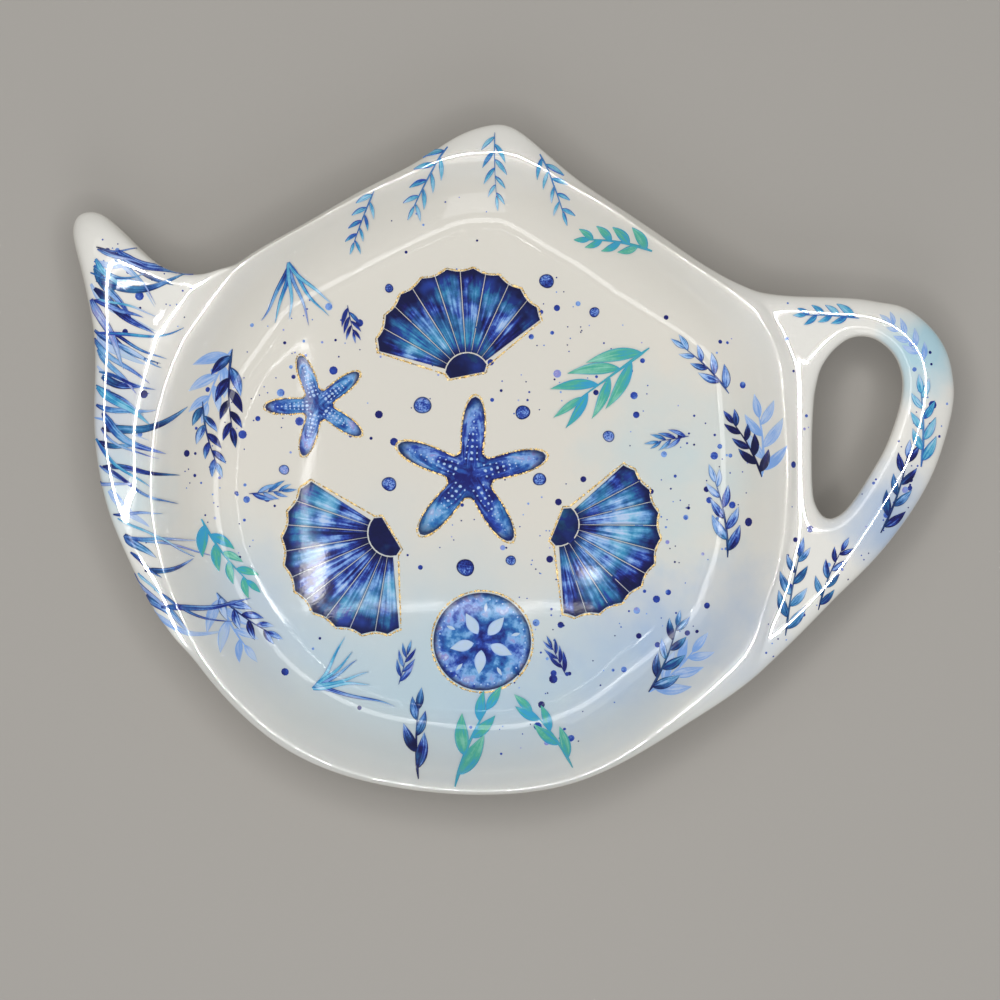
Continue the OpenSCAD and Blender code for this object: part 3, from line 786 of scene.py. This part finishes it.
# Motifs on the floor, as in the model's source: their sizes in millimetres, and for each of them its place as
# shares of the floor's radius, the share of its size, and degrees
MOTIF_SEED = 7
FLOOR_R = min(DISH_W, DISH_D) / 2 - WALL_RUN
SHELL_R = 12.0
STAR_R = 11.0
DOLLAR_R = 7.5
BUBBLE_R = 2.0
SHELLS = [(-0.055, 0.635, 0.72, 11), (-0.53, -0.365, 0.75, 121), (0.565, -0.29, 0.7, -112)]
STARS = [(0, 0, 0.98, -4), (-0.64, 0.29, 0.66, 20)]
DOLLARS = [(0.05, -0.7, 0.9, 30)]
FRONDS = [(0.75, 0.53, 0.98, 126), (-0.515, 0.71, 0.32, 192), (-0.927, -0.081, 0.38, -85),
          (-0.3, -0.88, 0.36, -16), (0.4, -0.84, 0.36, 26), (0.916, 0.161, 0.36, 100)]
BUBBLES = [(0.22, 0.26, 0.5), (-0.2, 0.29, 0.6), (-0.34, -0.04, 0.5), (-0.02, -0.39, 0.6),
           (0.29, -0.02, 0.45), (0.32, 0.81, 0.5), (-0.78, 0.02, 0.35), (0.17, -0.36, 0.35),
           (0.58, 0.16, 0.4), (0.52, 0.68, 0.35), (-0.34, 0.78, 0.3)]
# The scallop: its ribs, the bare glaze beside each as a share of it, how far the fan opens to each side, and
# how far below the middle the hinge lies and how far from the hinge the fan reaches, in its radius
LOBES = 9
RIB_GAP = 0.013
FAN = math.radians(64)
HINGE = 0.85
REACH = 1.72
# The starfish's arms, and the sand dollar's petals
ARMS = 5
# How far outside a motif its gold line runs, in millimetres before the motif is scaled
GOLD_OFF = 0.31

# The spout's grass: its blades, the first of the rows across the spout that they start on and how many rows
# they cover, and how far out from the rim's foot they may start, in millimetres
SPOUT_BLADES = 60
BLADES_FROM = 11
BLADES_OVER = 25
SPOUT_GRASS_REACH = 4.8

# The wreath round the well's wall: its places, how far out, and those bare or backed with pale leaves
WREATH = 19
WREATH_R = 38.5
WREATH_SEED = 40
WREATH_GAPS = (2, 4, 5, 6, 13, 14, 15, 17)
MIST_BEHIND = (0, 8, 11, 16)

# Sprigs on the rim, handle, lid and base. For each group: films, leaves, their length and width as shares of
# the sprig's, spread, the tint or its range, and each sprig's base in millimetres, heading, length and bend
SPRIGS = [
    (("reef", "reef", "reef"), 7, 0.34, 0.11, 42, (-0.1, 0.4),
     [(43, -22, 84, 12, -8), (47.5, -18.5, 78, 9.5, -20), (56, -8, 62, 12, 20)]),
    (("lagoon", "mist", "lagoon"), 7, 0.36, 0.12, 42, (0.1, 0.4),
     [(61.5, 1, 84, 11, 14), (62, 15, 116, 8, 30), (53, 21.2, 172, 8, 10)]),
    (("lagoon", "lagoon", "lagoon", "lagoon"), 8, 0.32, 0.07, 48, (0.1, 0.3),
     [(3.4, 46.5, -92, 9, 8), (-3, 44.5, -126, 10, 10), (9.5, 43.5, -62, 9, -10), (-13, 38.5, -118, 8, 8)]),
    (("reef", "leaf", "leaf"), 4, 0.5, 0.17, 30, (0.05,),
     [(-7, -41.5, 100, 10, -20), (-2, -42.5, 76, 12, -20), (14, -40, 118, 10, 20)]),
]

# The films of the decoration: level, piece, material, its washes, edge colour, blots in millimetres, bleed
FILMS = {
    # Deep blue with turquoise bled in, darkest along the edges of each rib
    "ink": (0, "scallop_prints", "indigo_underglaze_shells", INK_STOPS, NAVY, 2.6, 0.75),
    # Cobalt flesh, mottled and lilac where it thins
    "stars": (0, "starfish_prints", "cobalt_underglaze_starfish", COBALT_STOPS, NAVY, 1.8, 0.45),
    # The same cobalt in wider blots
    "tests": (0, "sand_dollar_print", "cobalt_underglaze_sand_dollar", COBALT_STOPS, NAVY, 2.2, 0.4),
    # Dark sprigs that pale to sky blue at their tips
    "reef": (1, "seaweed_prints", "indigo_underglaze_seaweed", INK_STOPS, NAVY, 3.5, 0.5),
    # Mid blue blades, edged in indigo
    "weed": (2, "sea_grass_prints", "cobalt_underglaze_sea_grass", COBALT_STOPS, INDIGO, 3, 0.5),
    # Clear turquoise with a cobalt rim
    "lagoon": (3, "lagoon_grass_prints", "turquoise_underglaze_grass", LAGOON_STOPS, COBALT, 3),
    # Sea green leaves, pale as mint at their tips
    "leaf": (3, "leaf_prints", "green_underglaze_leaves", LEAF_STOPS, TURQUOISE, 4),
    # Round drops of cobalt, finely mottled
    "drops": (0, "bubble_prints", "cobalt_underglaze_bubbles", COBALT_STOPS, NAVY, 1.5),
    # A thin pale blue that other motifs stand out on
    "mist": (0, "mist_leaf_prints", "pale_underglaze_leaves", MIST_STOPS, SKY, 4),
    # Spots of the palest blue on the starfish and the sand dollar
    "pale": (2, "pale_spot_prints", "pale_blue_underglaze_spots", PALE_STOPS, SKY, 1.2),
}


def on_floor(entry):
    return turned((entry[0] * FLOOR_R, entry[1] * FLOOR_R), entry[2], entry[3])


def fan_reach(t):
    """How far the scallop's rim lies from its hinge, t from -1 to 1 across the fan, in its radius."""
    a = t * math.pi / 2
    return REACH * (0.88 + 0.12 * math.cos(a)) * (1 - 0.035 * abs(math.sin(a * LOBES)))


def scallop(film, put, tint):
    """Ribs fanned out from a hinge, with a hair of bare glaze between them."""
    for k in range(LOBES):
        shade = tint + random.uniform(-0.12, 0.12)

        def rib(u, v):
            t = (2 * (k + RIB_GAP + u * (1 - 2 * RIB_GAP)) + (u * 2 - 1) * -0.05 * (1 - v)) / LOBES - 1
            reach = SHELL_R * (0.37 + (fan_reach(t) - 0.37) * v)
            side = abs(2 * u - 1)
            bands = 0.13 * math.sin(v * v * 26)
            light = math.sin(math.pi * min(1, v * 1.1)) ** 0.8
            edge = max(side ** 2.5 * 0.75, (v - 0.86) / 0.14, (0.25 - v) / 0.3)
            place = put(reach * math.sin(t * FAN), reach * math.cos(t * FAN) - HINGE * SHELL_R)
            return *place, (light + bands, edge, shade)
        film.patch(rib, 6, 24)

    def hinge(u, v):
        a = math.radians(72) * (2 * u - 1)
        foot = 0.28 * (2 * u - 1)
        x = foot + (0.35 * math.sin(a) - foot) * v
        y = 0.35 * math.cos(a) * v - HINGE
        return *put(x * SHELL_R, y * SHELL_R), (0.1, 0.75, tint - 0.1)
    film.patch(hinge, 10, 4)


def star_reach(a):
    w = math.cos(a * ARMS / 2) ** 2
    return STAR_R * (0.3 + 0.7 * w * w)


def starfish(film, marks, put, tint):
    """Five tapering arms, with a row of pale spots down each."""
    def flesh(turn, s):
        a = turn * math.tau
        reach = star_reach(a) * s
        edge = max(s ** 5, 0.4 * abs(math.sin(a * ARMS / 2)))
        return *put(reach * math.sin(a), reach * math.cos(a)), (reach / STAR_R, edge, tint)
    film.disc(flesh, 120, 8)
    for arm in range(ARMS):
        a = arm * math.tau / ARMS
        for k in range(9):
            reach = STAR_R * (0.2 + 0.08 * k)
            for side in (-1, 0, 1) if k < 6 else (0,):
                off = side * STAR_R * (0.075 - 0.007 * k)
                x = reach * math.sin(a) + off * math.cos(a)
                y = reach * math.cos(a) - off * math.sin(a)
                dot(marks, put(x, y), (0.24 - 0.018 * k) * (1 if side == 0 else 0.6), 0.2)


def dot(film, middle, radius, tint, around=10, rings=1, torn=0.12):
    """A drop of paint, out of round by the share torn."""
    phase = random.uniform(0, 9)

    def drop(turn, s):
        a = turn * math.tau
        r = radius * s * (1 + torn * (math.sin(2 * a + phase) + 0.6 * math.sin(3 * a + 2 * phase)))
        return middle[0] + r * math.cos(a), middle[1] + r * math.sin(a), (0.5, s ** 3, tint)
    film.disc(drop, around, rings)


def lens(film, put, length, width, tint, bend=0.0, blunt=0.8):
    """A leaf from its stalk upwards; bend turns its tip aside, in radians."""
    def blade(u, v):
        a = bend * v
        half = width / 2 * math.sin(math.pi * v ** blunt) * (2 * u - 1)
        edge = max(abs(2 * u - 1) ** 4 * 0.8, 1 - 6 * v if v < 0.17 else 0)
        x = length * v * math.sin(a / 2) + half * math.cos(a)
        y = length * v * math.cos(a / 2) - half * math.sin(a)
        return *put(x, y), (v, edge, tint)
    film.patch(blade, 4, 12)


def sand_dollar(film, marks, put, tint):
    """A round test with five pale petals, five slots between them and a ring of fine dots."""
    r = DOLLAR_R

    def test(turn, s):
        a = turn * math.tau
        return *put(r * s * math.sin(a), r * s * math.cos(a)), (s, s ** 7, tint)
    film.disc(test, 96, 10)
    for k in range(ARMS):
        petal = turned((0, 0), 1, k * 360 / ARMS)
        lens(marks, lambda x, y: put(*petal(x, y + 0.17 * r)), r * 0.5, r * 0.24, 0.15, blunt=0.85)
        slot = turned((0, 0), 1, (k + 0.5) * 360 / ARMS)
        lens(marks, lambda x, y: put(*slot(x, y + 0.6 * r)), r * 0.2, r * 0.07, 0.3, blunt=1)
    for k in range(40):
        a = math.tau * (k + 0.5) / 40
        dot(marks, put(0.88 * r * math.sin(a), 0.88 * r * math.cos(a)), 0.13, 0.25)


def sprig(film, base, heading, length, bend, leaves, leaf, width, spread, tint):
    """A stem bent by so many degrees, with leaves by turns on either side and one at its tip."""
    def spine(t):
        a = math.radians(heading + bend * t)
        mid = math.radians(heading + bend * t / 2)
        return base[0] + length * t * math.cos(mid), base[1] + length * t * math.sin(mid), a

    def stem(u, v):
        x, y, a = spine(v * 0.92)
        half = width * 0.11 * (1.2 - 0.8 * v) * min(1, 0.3 + 5 * v) * (2 * u - 1)
        return x - half * math.sin(a), y + half * math.cos(a), (0.3 + 0.3 * v, 0.7, tint)
    film.patch(stem, 1, 20)
    for k in range(leaves + 1):
        t = (k + 0.6) / (leaves + 0.8)
        x, y, a = spine(t if k < leaves else 0.9)
        side = 0 if k == leaves else 1 if k % 2 else -1
        turn = math.degrees(a) - 90 + side * (spread * random.uniform(0.85, 1.15))
        size = (1 - 0.35 * t) * random.uniform(0.88, 1.1)
        put = turned((x, y), size, turn)
        lens(film, put, leaf, width, tint + random.uniform(-0.2, 0.2), bend=side * 0.35)


def grass(film, base, heading, length, width, bend, tint):
    """A ribbon of sea grass, waving a little, thinning to its tip."""
    def ribbon(u, v):
        a = math.radians(heading + bend * v)
        mid = math.radians(heading + bend * v / 2)
        wave = 0.02 * length * math.sin(v * 7 + tint * 9)
        half = width / 2 * (1 - v ** 2.2) ** 0.8 * min(1, 0.4 + 4 * v) * (2 * u - 1) + wave
        x = base[0] + length * v * math.cos(mid) - half * math.sin(a)
        y = base[1] + length * v * math.sin(mid) + half * math.cos(a)
        return x, y, (v, abs(2 * u - 1) ** 3 * 0.8, tint)
    film.patch(ribbon, 4, 24)


def spout_grass(film):
    """Blades that start on the spout's flat and lean in over the ridge."""
    _, feet, flat = body_curves()[:3]
    for k in range(SPOUT_BLADES):
        row = BLADES_FROM + k * BLADES_OVER // SPOUT_BLADES
        inner, outer = flat[row]
        span = outer - inner
        base = inner + span * random.uniform(0.2, min(1.3, SPOUT_GRASS_REACH / np.linalg.norm(span)))
        inward = math.degrees(math.atan2(*(feet[row] - inner)[::-1]))
        ink = ("weed", "reef", "weed", "mist", "lagoon", "reef", "weed")[k % 7]
        grass(film[ink], base, inward + random.uniform(-12, 40), random.uniform(5, 12.5),
              random.choice((0.35, 0.5, 0.8, 1.2)), random.uniform(-10, 50), random.uniform(-0.1, 0.5))


def wreath(film):
    """Sprigs and tufts of grass round the well's wall, each place with its own seed."""
    for k in range(WREATH):
        if k in WREATH_GAPS:
            continue
        random.seed(WREATH_SEED + k)
        turn = 360 * (k + 0.35 * random.uniform(-1, 1)) / WREATH
        far = WREATH_R + random.uniform(-2, 2)
        base = (far * math.cos(math.radians(turn)), far * math.sin(math.radians(turn)))
        length = random.uniform(9, 13)
        if k % 5 == 2:
            for blade in range(6):
                fan = 11 * (blade - 2.5) + random.uniform(-3, 3)
                ink = film["lagoon" if blade % 3 else "weed"]
                grass(ink, base, turn + 150 + fan, length * random.uniform(0.6, 1), 0.55, 0.7 * fan,
                      random.uniform(0, 0.4))
        else:
            sprig(film["leaf" if k % 7 == 3 else "reef"], base, turn + 106, length, 24, 7, length * 0.36,
                  length * 0.12, 40, random.uniform(-0.15, 0.45))
        if k in MIST_BEHIND:
            sprig(film["mist"], base, turn + 84, 9, 20, 5, 5.0, 1.5, 44, random.uniform(-0.1, 0.3))


def decorate(ground):
    """The printed decoration, laid on the glaze in films of one colour each."""
    random.seed(MOTIF_SEED)
    film = {key: Print(ground, level) for key, (level, *_) in FILMS.items()}
    for k, entry in enumerate(SHELLS):
        scallop(film["ink"], on_floor(entry), 0.02 + 0.06 * k)
    for k, entry in enumerate(STARS):
        starfish(film["stars"], film["pale"], on_floor(entry), 0.05 + 0.1 * k)
    for entry in DOLLARS:
        sand_dollar(film["tests"], film["pale"], on_floor(entry), 0.1)
    for k, (x, y, size, degrees) in enumerate(FRONDS):
        sprig(film["weed" if k else "leaf"], (x * FLOOR_R, y * FLOOR_R), degrees + 90, 13 * size, 0, 6,
              8.5 * size, 1.9 * size, 36, 0.1)
    for x, y, size in BUBBLES:
        dot(film["drops"], (x * FLOOR_R, y * FLOOR_R), BUBBLE_R * size, random.uniform(-0.1, 0.4),
            around=40, rings=5, torn=0.04)
    spout_grass(film)
    for inks, leaves, leaf, width, spread, tints, places in SPRIGS:
        for ink, (x, y, heading, length, bend) in zip(inks, places):
            tint = random.uniform(*tints) if len(tints) > 1 else tints[0]
            sprig(film[ink], (x, y), heading, length, bend, leaves, length * leaf, length * width, spread,
                  tint)
    wreath(film)
    return [film[key].make(piece, painted(*look)) for key, (_, piece, *look) in FILMS.items()]


def outline_paths():
    """The lines that the gold follows, on the drawing: round each shell, starfish and sand dollar."""
    paths = []
    shell = SHELL_R + GOLD_OFF
    for put in map(on_floor, SHELLS):
        line = []
        for k in range(121):
            t = k / 60 - 1
            reach = shell * fan_reach(t)
            line.append(put(reach * math.sin(t * FAN), reach * math.cos(t * FAN) - HINGE * shell))
        hinge = ((0.34, -0.75), (0.3, -0.85), (-0.3, -0.85), (-0.34, -0.75))
        line += [put(x * shell, y * shell) for x, y in hinge]
        paths.append(line + line[:1])
    star = (STAR_R + GOLD_OFF) / STAR_R
    rounds = [(entry, 180, lambda a: star_reach(a) * star) for entry in STARS]
    rounds += [(entry, 90, lambda a: DOLLAR_R + GOLD_OFF) for entry in DOLLARS]
    for entry, n, reach in rounds:
        put = on_floor(entry)
        turns = [k * math.tau / n for k in range(n + 1)]
        paths.append([put(reach(a) * math.sin(a), reach(a) * math.cos(a)) for a in turns])
    return paths


class Tree:
    """A geometry tree under construction, with named inputs, and an object made by it."""

    def __init__(self, name, sizes):
        self.tree = bpy.data.node_groups.new(name, "GeometryNodeTree")
        self.tree.is_modifier = True
        face = self.tree.interface
        face.new_socket("Geometry", in_out="INPUT", socket_type="NodeSocketGeometry")
        face.new_socket("Geometry", in_out="OUTPUT", socket_type="NodeSocketGeometry")
        self.sizes = sizes
        for label, value in sizes.items():
            kind = "NodeSocketInt" if isinstance(value, int) else "NodeSocketFloat"
            face.new_socket(label, in_out="INPUT", socket_type=kind)
        self.add = functools.partial(node, self.tree)
        self.given = self.add("NodeGroupInput").outputs

    def grow(self, name, source, last, material):
        """Runs the tree on a source mesh and keeps what it makes as a plain piece."""
        real = self.add("GeometryNodeRealizeInstances", {0: last})
        dressed = self.add("GeometryNodeSetMaterial", {0: real, "Material": material})
        self.add("NodeGroupOutput", {0: dressed})
        maker = bpy.data.objects.new(name + "_maker", source)
        bpy.context.scene.collection.objects.link(maker)
        modifier = maker.modifiers.new("nodes", "NODES")
        modifier.node_group = self.tree
        for item in self.tree.interface.items_tree:
            if item.in_out == "INPUT" and item.name in self.sizes:
                modifier[item.identifier] = self.sizes[item.name]
        graph = bpy.context.evaluated_depsgraph_get()
        data = bpy.data.meshes.new_from_object(maker.evaluated_get(graph))
        bpy.data.objects.remove(maker)
        data.name = name
        return link(bpy.data.objects.new(name, data))


def splatter(body):
    """Fine drops of colour shaken over the glaze, thicker in some places."""
    tree = Tree("splatter", {"Drops per square metre": 260000.0, "Smallest drop": 0.1 * MM,
                             "Largest drop": 0.62 * MM, "Cloud": 16 * MM, "Highest": (RIM_H - 0.5) * MM,
                             "Seed": 11})
    add = tree.add
    given = tree.given
    place = add("GeometryNodeInputPosition")
    upward = add("ShaderNodeSeparateXYZ", {0: add("GeometryNodeInputNormal")}).outputs[2]
    on_top = add("FunctionNodeCompare", {0: upward, 1: 0.75}, operation="GREATER_THAN")
    across = add("ShaderNodeMath", {0: 1.0, 1: given["Cloud"]}, operation="DIVIDE")
    cloud = add("ShaderNodeTexNoise", {"Vector": place, "Scale": across, "Detail": 3.0})
    thick = add("ShaderNodeMapRange", {0: cloud, 1: 0.44, 2: 0.7})
    height = add("ShaderNodeSeparateXYZ", {0: place}).outputs[2]
    below = add("FunctionNodeCompare", {0: height, 1: given["Highest"]}, operation="LESS_THAN")
    thick = add("ShaderNodeMath", {0: thick, 1: below}, operation="MULTIPLY")
    density = add("ShaderNodeMath", {0: thick, 1: given["Drops per square metre"]}, operation="MULTIPLY")
    scatter = add("GeometryNodeDistributePointsOnFaces",
                  {"Mesh": given["Geometry"], "Selection": on_top, "Density": density, "Seed": given["Seed"]})
    chance = add("FunctionNodeRandomValue", {"Seed": given["Seed"]}, data_type="FLOAT").outputs[1]
    rare = add("ShaderNodeMath", {0: chance, 1: 5.0}, operation="POWER")
    radius = add("ShaderNodeMapRange", {0: rare, 3: given["Smallest drop"], 4: given["Largest drop"]})
    size = add("ShaderNodeCombineXYZ", {0: radius, 1: radius, 2: 1.0})
    drop = add("GeometryNodeMeshCylinder", {"Vertices": 9, "Radius": 1.0, "Depth": 0.05 * MM})
    spread = add("GeometryNodeInstanceOnPoints", {"Points": scatter, "Instance": drop,
                                                  "Rotation": scatter.outputs["Rotation"], "Scale": size})
    shade = add("FunctionNodeRandomValue", {2: -0.3, 3: 0.5, "Seed": 3}, data_type="FLOAT").outputs[1]
    paint = add("ShaderNodeCombineXYZ", {0: 0.4, 2: shade})
    marked = add("GeometryNodeStoreNamedAttribute", {"Geometry": spread, "Name": "paint", "Value": paint},
                 data_type="FLOAT_VECTOR", domain="INSTANCE")
    return tree.grow("splatter_prints", body.data, marked,
                     painted("cobalt_underglaze_drops", COBALT_STOPS, NAVY, 2))


def gold_lines(ground):
    """Fired gold in separate flecks, strung along the outlines."""
    points = []
    ups = []
    edges = []
    for path in outline_paths():
        for k, (x, y) in enumerate(path):
            hit, normal, _ = ground.under(x, y)
            points.append(hit + normal * 0.02 * MM)
            ups.append(normal)
            if k:
                edges.append((len(points) - 2, len(points) - 1))
    lines = bpy.data.meshes.new("gold_paths")
    lines.from_pydata(points, edges, [])
    mark(lines, "up", ups)
    tree = Tree("gold_flecks", {"Spacing": 0.17 * MM, "Smallest fleck": 0.09 * MM, "Largest fleck": 0.24 * MM,
                                "Kept": 0.93, "Seed": 5})
    add = tree.add
    given = tree.given
    curve = add("GeometryNodeMeshToCurve", {0: given["Geometry"]})
    strung = add("GeometryNodeResampleCurve", {"Curve": curve, "Length": given["Spacing"]}, mode="LENGTH")
    up = add("GeometryNodeInputNamedAttribute", {"Name": "up"}, data_type="FLOAT_VECTOR")
    stand = add("FunctionNodeAlignRotationToVector", {"Vector": up}, axis="Z")
    kept = add("FunctionNodeRandomValue", {"Probability": given["Kept"], "Seed": given["Seed"]},
               data_type="BOOLEAN").outputs[3]
    spin = add("FunctionNodeRandomValue", {2: 0.0, 3: math.tau, "Seed": 8}, data_type="FLOAT").outputs[1]
    round_up = add("FunctionNodeAxisAngleToRotation", {"Axis": (0, 0, 1), "Angle": spin})
    turn = add("FunctionNodeRotateRotation", {0: stand, 1: round_up}, rotation_space="LOCAL")
    chance = add("FunctionNodeRandomValue", {"Seed": 9}, data_type="FLOAT").outputs[1]
    radius = add("ShaderNodeMapRange", {0: chance, 3: given["Smallest fleck"], 4: given["Largest fleck"]})
    narrow = add("ShaderNodeMath", {0: radius, 1: 0.65}, operation="MULTIPLY")
    size = add("ShaderNodeCombineXYZ", {0: radius, 1: narrow, 2: 0.05 * MM})
    fleck = add("GeometryNodeMeshIcoSphere", {"Radius": 1.0, "Subdivisions": 1})
    spread = add("GeometryNodeInstanceOnPoints", {"Points": strung, "Selection": kept, "Instance": fleck,
                                                  "Rotation": turn, "Scale": size})
    return tree.grow("gold_flecks", lines, spread, finish("fired_liquid_gold", fired_gold))


def foot_mesh():
    """The standing ring: turned on the wheel, its flat wiped clean of glaze and its edges rounded."""
    bevel = (FOOT_W - FOOT_FLAT_W) / 2
    profile = [(FOOT_W, FOOT_H + FOOT_SUNK), (FOOT_W, FOOT_H), (FOOT_W - bevel * 0.5, FOOT_H * 0.5),
               (FOOT_W - bevel, 0), (FOOT_W - bevel - 0.4, 0), (bevel + 0.4, 0), (bevel, 0),
               (bevel * 0.5, FOOT_H * 0.5), (0, FOOT_H), (0, FOOT_H + FOOT_SUNK)]
    cage = Cage()
    turns = [k * math.tau / FOOT_SIDES for k in range(FOOT_SIDES)]
    lines = [[cage.add(((FOOT_R - x) * math.cos(a), (FOOT_R - x) * math.sin(a)), z) for a in turns]
             for x, z in profile]
    lines = [line + line[:1] for line in lines]
    for a, b in zip(lines, lines[1:] + lines[:1]):
        cage.strip(a, b)
    return cage.mesh("foot_ring_skin")


body = finished("ceramic_body", body_cage().mesh("ceramic_body"), 2,
                finish("clear_glazed_porcelain", glaze(washed_ground)))
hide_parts("dish", "spout", "handle")
foot = finished("standing_ring", foot_mesh(), 1, finish("unglazed_fired_clay", bare_clay))
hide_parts("foot_ring")
ground = Ground(body)
prints = decorate(ground) + [splatter(body)]
for piece in prints:
    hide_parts("printed_motifs")
gold = gold_lines(ground)
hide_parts("gold_outlines")

CAMERA_LENS = 102.95
CAMERA_PLACE = (0.00005, -0.00543, 0.4)
WORLD_LIGHT = 0.36
# A ring of lamps over the rim, for the lines of light along its folds, in metres and watts
RING_LAMPS = 24
RING_R = 0.2
RING_Z = 0.43
RING_WIDE = 0.052
RING_LONG = 0.08
RING_WATTS = 1.2
# Lamps behind grids among them: each reaches only the near side of the rim and shows only as its shine
GRID_LONG = 0.022
GRID_DEGREES = 10
GRID_AIM_R = 0.043
GRID_WATTS = 0.15
# Narrow lamps beside the camera, which the floor and the spout mirror: place, width, length, watts
GLINTS = [(-0.0535, 0.02, 0.001, 0.1, 0.005), (-0.011, -0.0295, 0.075, 0.001, 0.003),
          (0.025, -0.021, 0.006, 0.004, 0.001), (-0.051, -0.02, 0.003, 0.014, 0.0028),
          (-0.106, 0.064, 0.022, 0.012, 0.02)]


def area_light(name, place, wide, long, watts, colour="#ffffff", aim=(0, 0, 0)):
    """A lamp, in metres and watts, aimed at a place or straight down."""
    light = bpy.data.lights.new(name, "AREA")
    light.shape = "RECTANGLE"
    light.size = wide
    light.size_y = long
    light.energy = watts
    light.color = linear(colour)[:3]
    lamp = bpy.data.objects.new(name, light)
    lamp.location = place
    lamp.rotation_euler = (0, 0, math.radians(TURN))
    if aim:
        lamp.rotation_euler = (Vector(place) - Vector(aim)).to_track_quat("Z", "Y").to_euler()
    bpy.context.scene.collection.objects.link(lamp)
    return lamp


def stage():
    """A pale table, the camera over it, broad soft light and small lamps for the glints along the ridges."""
    scene = bpy.context.scene
    table = bpy.data.meshes.new("table")
    table.from_pydata([(-1, -1, 0), (1, -1, 0), (1, 1, 0), (-1, 1, 0)], [], [(0, 1, 2, 3)])
    # Matt paint, which takes a soft shadow and mirrors nothing
    paint = {"Base Color": TABLE, "Roughness": 0.8}
    table.materials.append(finish("painted_table", lambda add, place: paint))
    floor = bpy.data.objects.new("table", table)
    scene.collection.objects.link(floor)

    camera = bpy.data.objects.new("camera", bpy.data.cameras.new("camera"))
    camera.data.lens = CAMERA_LENS
    camera.data.clip_start = 0.01
    camera.location = CAMERA_PLACE
    camera.rotation_euler = (0, 0, math.radians(TURN))
    scene.collection.objects.link(camera)
    scene.camera = camera

    scene.world = bpy.data.worlds.new("studio")
    scene.world.use_nodes = True
    fill(scene.world.node_tree, scene.world.node_tree.nodes["Background"],
         {"Color": linear("#f1f3f6"), "Strength": WORLD_LIGHT})
    glazed = bpy.data.collections.new("glazed")
    for piece in [body] + prints:
        glazed.objects.link(piece)
    area_light("soft_key", (-0.25, 0.22, 0.55), 0.35, 0.35, 0.46, "#fffaf2")
    area_light("window", (0.05, -0.45, 0.3), 0.3, 0.3, 0.5, "#fbfcff")
    for k in range(RING_LAMPS):
        turn = math.tau * (k + 0.5) / RING_LAMPS
        x, y = math.cos(turn), math.sin(turn)
        place = (RING_R * x, RING_R * y, RING_Z)
        area_light(f"ring_{k}", place, RING_WIDE, RING_LONG, RING_WATTS / RING_LAMPS)
        gridded = area_light(f"edge_{k}", place, RING_WIDE, GRID_LONG, GRID_WATTS / RING_LAMPS,
                             aim=(GRID_AIM_R * x, GRID_AIM_R * y, 0))
        gridded.data.spread = math.radians(GRID_DEGREES)
        gridded.visible_diffuse = False
        gridded.light_linking.receiver_collection = glazed
    beside_camera = turned(CAMERA_PLACE, 1, TURN)
    for k, (x, y, wide, long, watts) in enumerate(GLINTS):
        area_light(f"glint_{k}", beside_camera(x, y) + CAMERA_PLACE[2:], wide, long, watts, aim=None)
    scene.view_settings.view_transform = "Standard"


stage()
